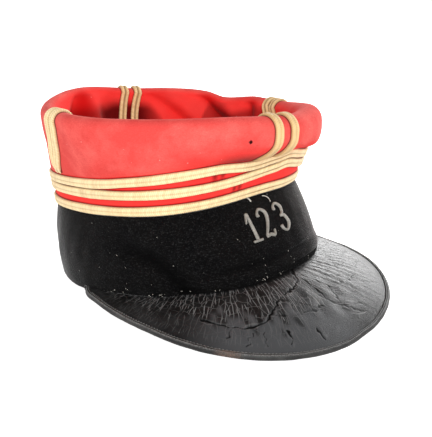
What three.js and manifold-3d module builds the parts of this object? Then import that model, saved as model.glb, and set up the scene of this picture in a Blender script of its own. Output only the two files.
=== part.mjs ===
// A kepi with a soft puffed crown, as it stands on a table: on the front of its peak and on the
// back of its band. Millimetres, +Z up. The front is -Y and the wearer's right is -X. Angles are
// degrees round the cap, from 0 at the front by 90 at the wearer's right to 180 at the back.

import * as THREE from "three";
import Module from "manifold-3d";

// Ovals in plan, from the band's foot up to the crown's rim, and the floor of the sunken top.
// front and back run along Y from the centre, half runs along X. A power of 2 is a plain ellipse,
// and more is squarer.
const FOOT = { front: 97.3, back: 96.7, half: 82.5, centre: 0, power: 2.2 };
const BAND_TOP = { front: 70.2, back: 88.2, half: 77.1, centre: 4.2, power: 2.6 };
const RIM = { front: 95.5, back: 99.2, half: 93.6, centre: 1.7, power: 1.95 };
const WELL = { front: 60, back: 66, half: 63, centre: 3, power: 2 };

// Heights above the table. The band leans back, so its edges are higher in front than behind.
const FOOT_HEIGHT = { middle: 13.4, lean: 15, saddle: 1.4 };
const BAND_TOP_HEIGHT = { middle: 61, lean: 11 };
const WELL_HEIGHT = { middle: 78, lean: 4 };
const WELL_SAG = 4;
const WELL_STEEPNESS = 1.7;
const BAND_BOW = 2.2;

// The cloth is pushed out at the front left, where the rows of braid turn a corner. From there the
// push fades over the spans, in degrees, towards the front and towards the side.
const CORNER = { angle: -15, push: 2.6, frontSpan: 26, sideSpan: 70, fade: 1.2 };

// A dent that runs down the right of the band: its line, by angle and share of the band's height.
const DENT = { depth: 4.2, width: 19 };
const DENT_LINE = [
  { angle: 86, up: 0.66 },
  { angle: 70, up: 0.57 },
  { angle: 60, up: 0.44 },
  { angle: 54, up: 0.27 },
  { angle: 50, up: 0 },
];

const CLOTH = 2;
const LEATHER = 2.2;
const GAP = 0.3;
const STRAND_GAP = 0.8;

// The crown by angle: how far its foot flares out under the rows of braid, the height of its rim,
// the radius of the roll there, and the power of the puff between them, where 1 is a straight wall
// and more swells out sooner.
const CROWN = [
  { angle: 0, flare: 6.5, rim: 124.6, roll: 8.5, puff: 2.9 },
  { angle: 30, flare: 6.5, rim: 127.6, roll: 7, puff: 2.5 },
  { angle: 60, flare: 5.5, rim: 126.8, roll: 6, puff: 1.9 },
  { angle: 95, flare: 3.5, rim: 125.3, roll: 5.5, puff: 1.3 },
  { angle: 130, flare: 2.5, rim: 124, roll: 5.5, puff: 1.1 },
  { angle: 168, flare: 2.5, rim: 127, roll: 5, puff: 1.1 },
  { angle: 200, flare: 3, rim: 122.4, roll: 5, puff: 1.2 },
  { angle: 228, flare: 3.5, rim: 120.8, roll: 5, puff: 1.3 },
  { angle: 240, flare: 4, rim: 119, roll: 5, puff: 1.4 },
  { angle: 249, flare: 4, rim: 115, roll: 5, puff: 1.5 },
  { angle: 266, flare: 4.5, rim: 117.5, roll: 5.5, puff: 1.6 },
  { angle: 284, flare: 5.5, rim: 117, roll: 7, puff: 2.4 },
  { angle: 306, flare: 7.5, rim: 120.5, roll: 9, puff: 6.5 },
  { angle: 328, flare: 7.5, rim: 124.2, roll: 9.3, puff: 5.5 },
  { angle: 348, flare: 7.5, rim: 123.6, roll: 9.5, puff: 4.5 },
];

// Folds of the crown: how wide each is, how far it drifts on its way down into the sunken top, and
// how deep it draws in the outer wall and pushes out the wall of the sunken top.
const FOLDS = [
  { angle: 8, width: 26, drift: 0, outer: 1, inner: -1.5 },
  { angle: 38, width: 34, drift: 6, outer: -1, inner: 3 },
  { angle: 76, width: 30, drift: -6, outer: -1, inner: 3.5 },
  { angle: 102, width: 24, drift: 0, outer: 1.5, inner: -1.5 },
  { angle: 138, width: 28, drift: 4, outer: -0.5, inner: 3 },
  { angle: 166, width: 24, drift: 6, outer: 0.5, inner: 4.5 },
  { angle: 200, width: 24, drift: 4, outer: 1, inner: -1.5 },
  { angle: 219, width: 24, drift: -10, outer: -0.5, inner: 4 },
  { angle: 243, width: 26, drift: -12, outer: 1, inner: 5.5 },
  { angle: 272, width: 22, drift: 0, outer: 1.5, inner: -1.5 },
  { angle: 298, width: 32, drift: 4, outer: -1, inner: 3 },
  { angle: 334, width: 30, drift: -4, outer: -1, inner: 3.5 },
];

// Pleats of the wall of the sunken top, which rise steeply from a valley to a crest and fall away
// gently to an end: their angles at the rim, their drift on the way down, and their height.
const PLEATS = [
  { valley: 161, crest: 173, end: 190, drift: -24, height: 4.5 },
  { valley: 208, crest: 219, end: 232, drift: 36, height: 3.5 },
  { valley: 236, crest: 247, end: 262, drift: 36, height: 4.5 },
  { valley: 265, crest: 272, end: 282, drift: 28, height: 2.5 },
];
const PLEAT_RISE = 0.6;

// Flat braid. Its section has a flat back and two ridges with a groove between them.
const BRAID = { width: 6.2, thick: 1.6, groove: 0.9, ridge: 0.3 };
const BRAID_ROWS = [
  { name: "braid_row_lower", heights: [{ angle: 0, height: 3.5 }] },
  {
    name: "braid_row_middle",
    heights: [
      { angle: 10, height: 15 },
      { angle: 28, height: 14.3 },
      { angle: 90, height: 14.3 },
      { angle: 180, height: 14.3 },
      { angle: 270, height: 13.6 },
      { angle: 325, height: 13.4 },
      { angle: 336, height: 15.4 },
      { angle: 346, height: 17.9 },
      { angle: 354, height: 16.5 },
    ],
  },
  {
    name: "braid_row_upper",
    heights: [
      { angle: 10, height: 22.1 },
      { angle: 28, height: 24.9 },
      { angle: 63, height: 22.9 },
      { angle: 80, height: 21.4 },
      { angle: 105, height: 20.9 },
      { angle: 180, height: 21 },
      { angle: 270, height: 21.4 },
      { angle: 325, height: 20.2 },
      { angle: 336, height: 22.1 },
      { angle: 346, height: 24.6 },
      { angle: 354, height: 23.2 },
    ],
  },
];

// Pairs of braid over the rim: the angle of the pair's middle where it starts at the upper row,
// at the rim and at its end in the sunken top, and how far apart its two strands lie.
const BRAID_PAIRS = [
  { name: "braid_front", row: 4.5, rim: 4.8, well: 0, spread: 13 },
  { name: "braid_right", row: 112, rim: 105, well: 103, spread: 7.2 },
  { name: "braid_back", row: 200, rim: 198, well: 190, spread: 11 },
  { name: "braid_left", row: 279, rim: 280.5, well: 290, spread: 7.7 },
];

// One half of the peak, by angle on the band's foot: how far it reaches out, and the height of the
// middle of its bound edge.
const PEAK_HALF = [
  { angle: 0, reach: 52.2, edge: 1.6 },
  { angle: 8, reach: 52.4, edge: 1.7 },
  { angle: 20, reach: 51.3, edge: 4.1 },
  { angle: 30, reach: 48.2, edge: 6.5 },
  { angle: 40, reach: 42.4, edge: 8.8 },
  { angle: 50, reach: 33.7, edge: 10.2 },
  { angle: 60, reach: 24.6, edge: 10.8 },
  { angle: 80, reach: 13.4, edge: 11.8 },
  { angle: 92, reach: 8, edge: 11 },
  { angle: 98, reach: 4.4, edge: 9.4 },
];
const PEAK_SHEET_END = 91;
const PEAK_TUCK = 1;
const PEAK_SWELL = 0.07;
const BINDING_RADIUS = 1.9;
const BINDING_SIDES = 8;

// Numerals on the front of the band: where the middle of each is, across from the front, and its
// strokes round that middle, as points of across, up and the stroke's width there. A stroke's
// section is rounded: at the crest, a share of its half width, it still has the shoulder, a share of
// its height.
const NUMERAL_UP = 34;
const STROKE = { thick: 1, shoulder: 0.8, crest: 0.75 };
const NUMERALS = [
  {
    name: "numeral_1",
    middle: -20.5,
    strokes: [
      [[-3.6, 2.6, 1], [-0.3, 9, 2]],
      [[0, 9.2, 2.2], [0, -8.6, 2.5]],
      [[-4, -9, 1.7], [4, -9, 1.7]],
    ],
  },
  {
    name: "numeral_2",
    middle: -8.5,
    strokes: [
      [[-3.5, 4.6, 3.2], [-3.2, 7, 1.8], [-0.2, 9.2, 1.7], [3.6, 6.4, 2.6], [2, 0.6, 2.4], [-4.2, -8.4, 1.5]],
      [[-4.4, -8.6, 1.8], [-0.6, -7.8, 2.3], [3, -8.8, 2.2], [4.8, -5.4, 1.1]],
    ],
  },
  {
    name: "numeral_3",
    middle: 7.5,
    strokes: [
      [[-3.5, 5.2, 3], [-2.8, 7.8, 1.7], [0.4, 9.2, 1.7], [3.4, 6.4, 2.5], [2.2, 2.4, 2], [-1, 0.8, 1.3]],
      [[-3.9, -4.8, 3.2], [-3, -7.8, 1.8], [0.4, -9.2, 1.7], [4.4, -5, 2.7], [3, 0, 2.2], [-1, 0.8, 1.3]],
    ],
  },
];

// How finely the pieces are divided.
const ROUND_STEPS = 60;
const PEAK_STEPS = 38;
const PEAK_ROWS = 5;
const STROKE_STEPS = 13;
const BAND_STATIONS = [0, 0.16, 0.32, 0.47, 0.64, 1];
const ROWS_STATIONS = [0, 0.5, 1];
const PUFF_STATIONS = [0.06, 0.16, 0.35, 0.6, 0.8, 1];
const ROLL_STATIONS = [40, 80, 120, 162];
const WELL_STATIONS = [0.12, 0.28, 0.48, 0.72, 1];
const TOP_RINGS = [0.55, 1];

const COLOURS = { red: 0xd8302c, black: 0x1b1b1d, gold: 0xe3c583, leather: 0x141416, grey: 0xa09c94 };
const UP = new THREE.Vector3(0, 0, 1);
const SLOPE_STEP = 0.5;
const STATION_STEP = 0.01;

const wasm = await Module();
wasm.setup();

// A smooth curve through one column of a table whose angles run round the cap.
function around(table, column, angle) {
  const count = table.length;
  const row = (i) => table[((i % count) + count) % count];
  const knot = (i) => row(i).angle + 360 * Math.floor(i / count);
  const slope = (i) => (row(i + 1)[column] - row(i - 1)[column]) / (knot(i + 1) - knot(i - 1));
  const turned = angle - 360 * Math.floor((angle - table[0].angle) / 360);
  let low = count - 1;
  while (knot(low) > turned) low -= 1;
  const span = knot(low + 1) - knot(low);
  const t = (turned - knot(low)) / span;
  const rise = row(low + 1)[column] - row(low)[column];
  const bend = (slope(low) * span - rise) * (1 - t) + (rise - slope(low + 1) * span) * t;
  return row(low)[column] + rise * t + bend * t * (1 - t);
}

function onOval(oval, angle, height) {
  const c = Math.cos(THREE.MathUtils.degToRad(angle));
  const s = Math.sin(THREE.MathUtils.degToRad(angle));
  const reach = (Math.abs(c) ** oval.power + Math.abs(s) ** oval.power) ** (-1 / oval.power);
  const along = c > 0 ? oval.front : oval.back;
  return new THREE.Vector3(-oval.half * s * reach, oval.centre - along * c * reach, height);
}

function grown(oval, by) {
  return { ...oval, front: oval.front + by, back: oval.back + by, half: oval.half + by };
}

function leaning(heights, angle) {
  const turn = THREE.MathUtils.degToRad(angle);
  return heights.middle + heights.lean * Math.cos(turn) + (heights.saddle ?? 0) * Math.cos(2 * turn);
}

// The unit vector square to an oval in plan, pointing out of the cap.
function outward(oval, angle) {
  const along = onOval(oval, angle + SLOPE_STEP, 0).sub(onOval(oval, angle - SLOPE_STEP, 0));
  return along.cross(UP).negate().normalize();
}

// A closed skin over a run of sections of equal length. A ring's last section meets its first.
// Otherwise each end is closed by a fan of triangles from its section's first point.
function loft(sections, ring) {
  const points = sections.flat();
  const size = sections[0].length;
  const triangles = [];
  const last = sections.length - 1;
  for (let i = 0; i < (ring ? last + 1 : last); i += 1) {
    const here = i * size;
    const there = ((i + 1) % sections.length) * size;
    for (let k = 0; k < size; k += 1) {
      const n = (k + 1) % size;
      triangles.push([here + k, here + n, there + n], [here + k, there + n, there + k]);
    }
  }
  for (let k = 1; !ring && k < size - 1; k += 1) {
    triangles.push([0, k + 1, k], [last * size, last * size + k, last * size + k + 1]);
  }
  return skin(points, triangles);
}

// Degrees from a middle, from -180 to 180.
function away(angle, middle) {
  return THREE.MathUtils.euclideanModulo(angle - middle + 180, 360) - 180;
}

// A soft bump: 1 in the middle and 0 from half the width on.
function bump(offset, width) {
  return 0.5 + 0.5 * Math.cos(Math.PI * Math.min(1, Math.abs(offset) / (width / 2)));
}

// A geometry from points and triangles, with its faces turned to point out.
function skin(points, triangles) {
  let volume = 0;
  for (const [a, b, c] of triangles) volume += points[a].dot(points[b].clone().cross(points[c]));
  const facing = volume > 0 ? triangles : triangles.map(([a, b, c]) => [a, c, b]);
  const geometry = new THREE.BufferGeometry().setFromPoints(points);
  geometry.setIndex(facing.flat());
  return geometry;
}

function toSolid(geometry) {
  const vertProperties = new Float32Array(geometry.attributes.position.array);
  const triVerts = new Uint32Array(geometry.index.array);
  return new wasm.Manifold(new wasm.Mesh({ numProp: 3, vertProperties, triVerts }));
}

function toGeometry(solid) {
  const mesh = solid.getMesh();
  const geometry = new THREE.BufferGeometry();
  geometry.setAttribute("position", new THREE.BufferAttribute(mesh.vertProperties, 3));
  geometry.setIndex(new THREE.BufferAttribute(mesh.triVerts, 1));
  return geometry;
}

function piece(name, geometry, colour, roughness, metalness = 0) {
  geometry.computeVertexNormals();
  const material = new THREE.MeshStandardMaterial({ color: colour, roughness, metalness });
  const mesh = new THREE.Mesh(geometry, material);
  mesh.name = name;
  return mesh;
}

const stations = Array.from({ length: ROUND_STEPS }, (_, i) => (i * 360) / ROUND_STEPS);

// The band: a leaning wall whose foot lies flat on the table at the back.
const footRing = (angle) => onOval(FOOT, angle, Math.max(0, leaning(FOOT_HEIGHT, angle)));
const bandTopRing = (angle) =>
  pushedOut(onOval(BAND_TOP, angle, leaning(BAND_TOP_HEIGHT, angle)), angle);

function pushedOut(point, angle) {
  const off = away(angle, CORNER.angle);
  const span = off > 0 ? CORNER.frontSpan : CORNER.sideSpan;
  const push = CORNER.push * Math.max(0, 1 - Math.abs(off) / span) ** CORNER.fade;
  return point.addScaledVector(outward(BAND_TOP, angle), push);
}

// A place between the band's foot, where t is 0, and its top, where t is 1, bowed out by so much.
function betweenRings(angle, t, bow) {
  const point = footRing(angle).lerp(bandTopRing(angle), t);
  return point.addScaledVector(outward(FOOT, angle), bow * 4 * t * (1 - t));
}

const dentLine = DENT_LINE.map(({ angle, up }) => betweenRings(angle, up, BAND_BOW));

// A place on the band's outer side.
function onBandWall(angle, t) {
  const point = betweenRings(angle, t, BAND_BOW);
  const gaps = dentLine.slice(1).map((end, i) => {
    const nearest = new THREE.Line3(dentLine[i], end).closestPointToPoint(point, true, new THREE.Vector3());
    return nearest.distanceTo(point);
  });
  return point.addScaledVector(outward(FOOT, angle), -DENT.depth * bump(Math.min(...gaps), DENT.width));
}

function makeBand() {
  const sections = stations.map((angle) => {
    const wall = BAND_STATIONS.map((t) => onBandWall(angle, t));
    const inside = wall.map((point) => point.clone().addScaledVector(outward(FOOT, angle), -CLOTH));
    return [...wall, ...inside.reverse()];
  });
  return piece("band", loft(sections, true), COLOURS.black, 0.95);
}

// The crown's visible side, as one run of points from its foot, out over the puff and the roll at
// the rim, and down the wall of the sunken top to its floor.
const upperRowHeight = (angle) => around(BRAID_ROWS.at(-1).heights, "height", angle);
const rowsHeight = (angle) => upperRowHeight(angle) + BRAID.width / 2 + GAP;
const rowsTopRing = (angle) => {
  const height = leaning(BAND_TOP_HEIGHT, angle) + rowsHeight(angle);
  return pushedOut(onOval(grown(BAND_TOP, around(CROWN, "flare", angle)), angle, height), angle);
};
const wellRing = (angle) => onOval(WELL, angle, leaning(WELL_HEIGHT, angle));

function foldDepth(angle, side, down) {
  let depth = 0;
  for (const fold of FOLDS) {
    depth += fold[side] * bump(away(angle, fold.angle + fold.drift * down), fold.width);
  }
  return depth;
}

function pleatHeight(angle, down) {
  let height = 0;
  for (const pleat of PLEATS) {
    const off = away(angle, pleat.crest + pleat.drift * down);
    const flank = off < 0 ? pleat.crest - pleat.valley : pleat.end - pleat.crest;
    height += pleat.height * bump(off, 2 * flank);
  }
  return height;
}

function crownRun(angle) {
  const base = bandTopRing(angle).addScaledVector(UP, GAP);
  const rowsTop = rowsTopRing(angle);
  const floor = wellRing(angle);
  const rimHeight = around(CROWN, "rim", angle);
  const roll = around(CROWN, "roll", angle);
  const puff = around(CROWN, "puff", angle);
  const widest = onOval(RIM, angle, rimHeight - roll);
  const out = widest.clone().sub(floor).setZ(0).normalize();
  const run = ROWS_STATIONS.map((t) => base.clone().lerp(rowsTop, t));
  for (const t of PUFF_STATIONS) {
    const swell = 1 - (1 - t) ** puff;
    const point = rowsTop.clone().lerp(widest, swell);
    point.z = THREE.MathUtils.lerp(rowsTop.z, widest.z, t);
    run.push(point.addScaledVector(out, -foldDepth(angle, "outer", 0) * Math.sin((Math.PI * t) / 2)));
  }
  const middle = run.at(-1).clone().addScaledVector(out, -roll);
  for (const turn of ROLL_STATIONS) {
    const c = Math.cos(THREE.MathUtils.degToRad(turn));
    const s = Math.sin(THREE.MathUtils.degToRad(turn));
    run.push(middle.clone().addScaledVector(out, roll * c).addScaledVector(UP, roll * s));
  }
  const lip = run.at(-1);
  for (const t of WELL_STATIONS) {
    const point = lip.clone().lerp(floor, t ** WELL_STEEPNESS);
    point.z = THREE.MathUtils.lerp(lip.z, floor.z, t);
    const fold = foldDepth(angle, "inner", t) * Math.sin(Math.PI * t);
    const pleat = pleatHeight(angle, t) * Math.sin(Math.PI * t ** PLEAT_RISE);
    run.push(point.addScaledVector(out, -fold - pleat));
  }
  return run;
}

// A point of the crown's visible side, between the runs at its stations, with the unit vector
// square to the cloth there.
const crownRuns = stations.map(crownRun);

function onCrown(angle, i) {
  const step = 360 / ROUND_STEPS;
  const low = Math.floor(angle / step);
  const between = (k, turn) => {
    const run = (n) => crownRuns[THREE.MathUtils.euclideanModulo(low + n, ROUND_STEPS)][k];
    const t = angle / step - low + turn;
    return t < 0 ? run(-1).clone().lerp(run(0), t + 1) : run(0).clone().lerp(run(1), t);
  };
  const point = between(i, 0);
  const last = crownRuns[0].length - 1;
  const along = between(Math.min(i + 1, last), 0).sub(between(Math.max(i - 1, 0), 0));
  const normal = along.cross(between(i, 0.5).sub(between(i, -0.5))).normalize();
  return { point, normal };
}

function makeCrown() {
  const sections = stations.map((angle) => {
    const places = crownRun(angle).map((_, i) => onCrown(angle, i));
    const hidden = places.map(({ point, normal }) => point.clone().addScaledVector(normal, -CLOTH));
    return [...places.map(({ point }) => point), ...hidden.reverse()];
  });
  return piece("crown", loft(sections, true), COLOURS.red, 0.95);
}

function makeCrownTop() {
  const edge = grown(WELL, -2 * GAP);
  const points = [];
  const triangles = [];
  for (const drop of [0, -CLOTH]) {
    const first = points.length;
    points.push(new THREE.Vector3(0, WELL.centre, WELL_HEIGHT.middle - WELL_SAG + drop));
    for (const reach of TOP_RINGS) {
      for (const angle of stations) {
        const point = onOval(edge, angle, leaning(WELL_HEIGHT, angle));
        point.lerp(new THREE.Vector3(0, WELL.centre, WELL_HEIGHT.middle), 1 - reach);
        point.z += drop - WELL_SAG * (1 - reach ** 2);
        points.push(point);
      }
    }
    for (let i = 0; i < ROUND_STEPS; i += 1) {
      const n = (i + 1) % ROUND_STEPS;
      const inner = first + 1;
      const outer = inner + ROUND_STEPS;
      const face = [
        [first, inner + i, inner + n],
        [inner + i, outer + i, outer + n],
        [inner + i, outer + n, inner + n],
      ];
      triangles.push(...(drop ? face.map(([a, b, c]) => [a, c, b]) : face));
    }
  }
  const half = points.length / 2;
  for (let i = 0; i < ROUND_STEPS; i += 1) {
    const top = 1 + ROUND_STEPS + i;
    const next = 1 + ROUND_STEPS + ((i + 1) % ROUND_STEPS);
    triangles.push([top, half + top, half + next], [top, half + next, next]);
  }
  return piece("crown_top", skin(points, triangles), COLOURS.red, 0.95);
}

// One section of braid: the groove first, then a ridge, the flat back and the other ridge.
function braidSection(point, across, normal, gap) {
  const half = BRAID.width / 2;
  const at = (side, lift) =>
    point.clone().addScaledVector(across, side).addScaledVector(normal, gap + lift);
  return [
    at(0, BRAID.groove),
    at(-half + BRAID.ridge * BRAID.width, BRAID.thick),
    at(-half, 0),
    at(half, 0),
    at(half - BRAID.ridge * BRAID.width, BRAID.thick),
  ];
}

function onRowsWall(angle, height) {
  const low = bandTopRing(angle);
  const up = rowsTopRing(angle).sub(low);
  const point = low.addScaledVector(up, height / rowsHeight(angle));
  up.normalize();
  const along = bandTopRing(angle + SLOPE_STEP).sub(bandTopRing(angle - SLOPE_STEP));
  return { point, up, normal: up.clone().cross(along).normalize() };
}

function makeBraidRow(row) {
  const sections = stations.map((angle) => {
    const { point, up, normal } = onRowsWall(angle, around(row.heights, "height", angle));
    return braidSection(point, up, normal, GAP);
  });
  return piece(row.name, loft(sections, true), COLOURS.gold, 0.6);
}

function makeBraidStrand(name, pair, side) {
  const first = ROWS_STATIONS.length;
  const widest = first + PUFF_STATIONS.length - 1;
  const inside = widest + ROLL_STATIONS.length;
  const last = inside + WELL_STATIONS.length - 1;
  const angleAt = (i) => {
    const middle =
      i < widest
        ? THREE.MathUtils.lerp(pair.row, pair.rim, PUFF_STATIONS[i - first])
        : THREE.MathUtils.lerp(pair.rim, pair.well, Math.max(0, (i - inside) / (last - inside)));
    const { x, y } = onCrown(middle, i).point;
    return middle + THREE.MathUtils.radToDeg((side * pair.spread) / 2 / Math.hypot(x, y - RIM.centre));
  };
  const places = [];
  for (let i = first; i < last; i += 1) places.push(onCrown(angleAt(i), i));
  const sections = places.map(({ point, normal }, i) => {
    const next = places[Math.min(i + 1, places.length - 1)].point;
    const along = next.clone().sub(places[Math.max(i - 1, 0)].point);
    return braidSection(point, along.cross(normal).normalize(), normal, STRAND_GAP);
  });
  return piece(name, loft(sections, false), COLOURS.gold, 0.6);
}

// The peak: a dished sheet that starts under the band's foot and ends in its binding.
const PEAK = [...PEAK_HALF.slice(1).reverse().map((row) => ({ ...row, angle: -row.angle })), ...PEAK_HALF];
const peakStations = (end) =>
  Array.from({ length: PEAK_STEPS + 1 }, (_, i) => end * ((2 * i) / PEAK_STEPS - 1));

function peakRim(angle) {
  const rim = onOval(FOOT, angle, around(PEAK, "edge", angle));
  return rim.addScaledVector(outward(FOOT, angle), around(PEAK, "reach", angle));
}

// A place inside the peak's rim, with the unit vector that points out across the rim there.
function peakEdge(angle, inset) {
  const along = peakRim(angle + SLOPE_STEP).sub(peakRim(angle - SLOPE_STEP)).setZ(0);
  const out = along.cross(UP).negate().normalize();
  return { point: peakRim(angle).addScaledVector(out, -inset), out };
}

function makePeak() {
  const sections = peakStations(PEAK_SHEET_END).map((angle) => {
    const out = outward(FOOT, angle);
    const tuck = PEAK_TUCK * Math.cos(THREE.MathUtils.degToRad(angle));
    const root = footRing(angle).addScaledVector(out, -tuck);
    root.z -= GAP;
    const edge = peakEdge(angle, 2 * BINDING_RADIUS + GAP).point;
    edge.z += LEATHER / 2;
    const along = edge.clone().sub(root);
    const normal = along.clone().cross(out.clone().cross(UP)).normalize();
    if (normal.z < 0) normal.negate();
    const top = Array.from({ length: PEAK_ROWS + 1 }, (_, i) => {
      const t = i / PEAK_ROWS;
      const swell = PEAK_SWELL * along.length() * 4 * t * (1 - t);
      return root.clone().addScaledVector(along, t).addScaledVector(normal, swell);
    });
    const under = top.map((point) => point.clone().addScaledVector(normal, -LEATHER));
    return [...top, ...under.reverse()];
  });
  return piece("peak", loft(sections, false), COLOURS.leather, 0.35);
}

function makePeakBinding() {
  const sections = peakStations(PEAK_HALF.at(-1).angle).map((angle) => {
    const { point: middle, out } = peakEdge(angle, BINDING_RADIUS);
    return Array.from({ length: BINDING_SIDES }, (_, k) => {
      const turn = (2 * Math.PI * (k + 0.5)) / BINDING_SIDES;
      const point = middle.clone().addScaledVector(out, BINDING_RADIUS * Math.cos(turn));
      point.z = Math.max(0, point.z + BINDING_RADIUS * Math.sin(turn));
      return point;
    });
  });
  return piece("peak_binding", loft(sections, false), COLOURS.leather, 0.4);
}

// A place on the front of the band, across from its middle and up from its foot.
function onBandFront(across, up, lift) {
  const angle = -THREE.MathUtils.radToDeg(Math.atan2(across, FOOT.half));
  const t = up / footRing(angle).distanceTo(bandTopRing(angle));
  const rise = onBandWall(angle, t + STATION_STEP).sub(onBandWall(angle, t - STATION_STEP));
  const along = onBandWall(angle + SLOPE_STEP, t).sub(onBandWall(angle - SLOPE_STEP, t));
  return onBandWall(angle, t).addScaledVector(rise.cross(along).normalize(), lift);
}

function makeStroke(points, middle) {
  const path = new THREE.CatmullRomCurve3(points.map((point) => new THREE.Vector3(...point)));
  const steps = points.length > 2 ? STROKE_STEPS : 2;
  const sections = Array.from({ length: steps + 1 }, (_, i) => {
    const { x, y, z: width } = path.getPointAt(i / steps);
    const across = path.getTangentAt(i / steps).setZ(0).normalize().cross(UP);
    const at = (side, lift) => {
      const half = (side * width) / 2;
      return onBandFront(middle + x + across.x * half, NUMERAL_UP + y + across.y * half, lift);
    };
    const top = GAP + STROKE.thick;
    const shoulder = STROKE.shoulder * top;
    return [at(0, top), at(STROKE.crest, shoulder), at(1, GAP), at(-1, GAP), at(-STROKE.crest, shoulder)];
  });
  return toSolid(loft(sections, false));
}

function makeNumeral({ name, middle, strokes }) {
  const solids = strokes.map((points) => makeStroke(points, middle));
  const solid = solids.reduce((joined, stroke) => joined.add(stroke));
  return piece(name, toGeometry(solid), COLOURS.grey, 0.6, 0.2);
}

// The whole cap, moved so that the origin is on the table under the middle of its length.
const cap = new THREE.Group();
cap.add(makeBand(), makeCrown(), makeCrownTop(), makePeak(), makePeakBinding());
for (const row of BRAID_ROWS) cap.add(makeBraidRow(row));
for (const pair of BRAID_PAIRS) {
  cap.add(makeBraidStrand(`${pair.name}_1`, pair, 1), makeBraidStrand(`${pair.name}_2`, pair, -1));
}
cap.add(...NUMERALS.map(makeNumeral));
cap.position.y = (FOOT.front + PEAK_HALF[0].reach - RIM.centre - RIM.back) / 2;

export default cap;
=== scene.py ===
# %% [markdown]
# # A kepi in cloth, braid and leather
# The cap is a soft one: a black wool band, a red wool crown that puffs out and sinks in at the top,
# flat gold braid, and a stiff leather peak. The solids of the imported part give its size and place.
# This lesson dresses them: each solid is hidden behind a finer piece with its own material, in the
# same frame, so nothing has to be fitted by eye.

import math

import bpy
import numpy as np
from mathutils import Matrix, Vector


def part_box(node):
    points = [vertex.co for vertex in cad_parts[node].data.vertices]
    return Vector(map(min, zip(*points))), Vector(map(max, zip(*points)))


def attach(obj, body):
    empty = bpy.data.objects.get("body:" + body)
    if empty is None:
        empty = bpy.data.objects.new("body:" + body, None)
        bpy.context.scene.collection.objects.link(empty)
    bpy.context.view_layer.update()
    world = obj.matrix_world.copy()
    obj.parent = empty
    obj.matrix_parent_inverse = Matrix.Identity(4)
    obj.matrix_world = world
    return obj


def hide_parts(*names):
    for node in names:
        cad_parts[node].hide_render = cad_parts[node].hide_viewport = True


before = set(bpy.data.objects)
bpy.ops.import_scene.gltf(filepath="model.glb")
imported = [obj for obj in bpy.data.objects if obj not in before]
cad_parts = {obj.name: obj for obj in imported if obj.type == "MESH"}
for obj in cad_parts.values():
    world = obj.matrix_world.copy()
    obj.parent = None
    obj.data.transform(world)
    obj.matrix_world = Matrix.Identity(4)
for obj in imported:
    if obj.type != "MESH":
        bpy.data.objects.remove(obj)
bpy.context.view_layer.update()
print("nodes:", sorted(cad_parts))

# %% [markdown]
# ## The view
# The photograph looks down on the cap from its front right. A camera is placed by where its eye is
# and which way its back points, in metres, and the lens follows from the focal length in pixels. It
# is made first, because everything later is compared through it.

# %% Camera
IMAGE_SIZE = (432, 437)
FOCAL_PIXELS = 618.3
SENSOR_WIDTH = 36.0
EYE = Vector((-0.2994, -0.2781, 0.1881))
CAMERA_BACK = Vector((-0.6974, -0.6359, 0.3305)).normalized()

camera_data = bpy.data.cameras.new("photo_view")
camera_data.sensor_width = SENSOR_WIDTH
camera_data.lens = FOCAL_PIXELS / max(IMAGE_SIZE) * SENSOR_WIDTH
camera = bpy.data.objects.new("photo_view", camera_data)
camera_right = Vector((0, 0, 1)).cross(CAMERA_BACK).normalized()
camera_up = CAMERA_BACK.cross(camera_right)
turn = Matrix((camera_right, camera_up, CAMERA_BACK)).transposed()
camera.matrix_world = Matrix.Translation(EYE) @ turn.to_4x4()
bpy.context.scene.collection.objects.link(camera)
bpy.context.scene.camera = camera
print(f"lens {camera_data.lens:.1f} mm")

# %% [markdown]
# ## The room
# The cap stands on a white table that is lit from below, as for a catalogue, inside a white room whose
# walls are bright and whose ceiling is dark. So the outside of the cap gets light from all round and
# from the table, and the inside of the crown stays darker. A soft light on the right, a little behind,
# puts the shine on the far side of the peak, and a weaker one fills the front. The plain colour
# transform keeps the strong red as strong as the cloth is.

# %% Floor and lights
FLOOR_HALF = 30.0
LIGHTS = [
    {"name": "key_right", "place": (1.1, 0.2, 0.42), "size": (1.0, 0.5), "power": 12.0},
    {"name": "front_left", "place": (-0.75, -0.85, 0.62), "size": (0.9, 0.7), "power": 10.0},
]
AIM = Vector((0, 0, 0.06))

floor_mesh = bpy.data.meshes.new("floor")
floor_mesh.from_pydata(
    [(x * FLOOR_HALF, y * FLOOR_HALF, 0.0) for x, y in ((-1, -1), (1, -1), (1, 1), (-1, 1))],
    [], [(0, 1, 2, 3)],
)
floor = bpy.data.objects.new("floor", floor_mesh)
bpy.context.scene.collection.objects.link(floor)

for light in LIGHTS:
    data = bpy.data.lights.new(light["name"], "AREA")
    data.shape = "RECTANGLE"
    data.size, data.size_y = light["size"]
    data.energy = light["power"]
    lamp = bpy.data.objects.new(light["name"], data)
    lamp.location = light["place"]
    lamp.rotation_euler = (lamp.location - AIM).to_track_quat("Z", "Y").to_euler()
    bpy.context.scene.collection.objects.link(lamp)
print("lights:", [light["name"] for light in LIGHTS])

# %% Walls and ceiling
WALL_LIGHT, CEILING_LIGHT = 1.28, 0.32
WALL_TOP, CEILING_FROM = 0.14, 0.66

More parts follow.
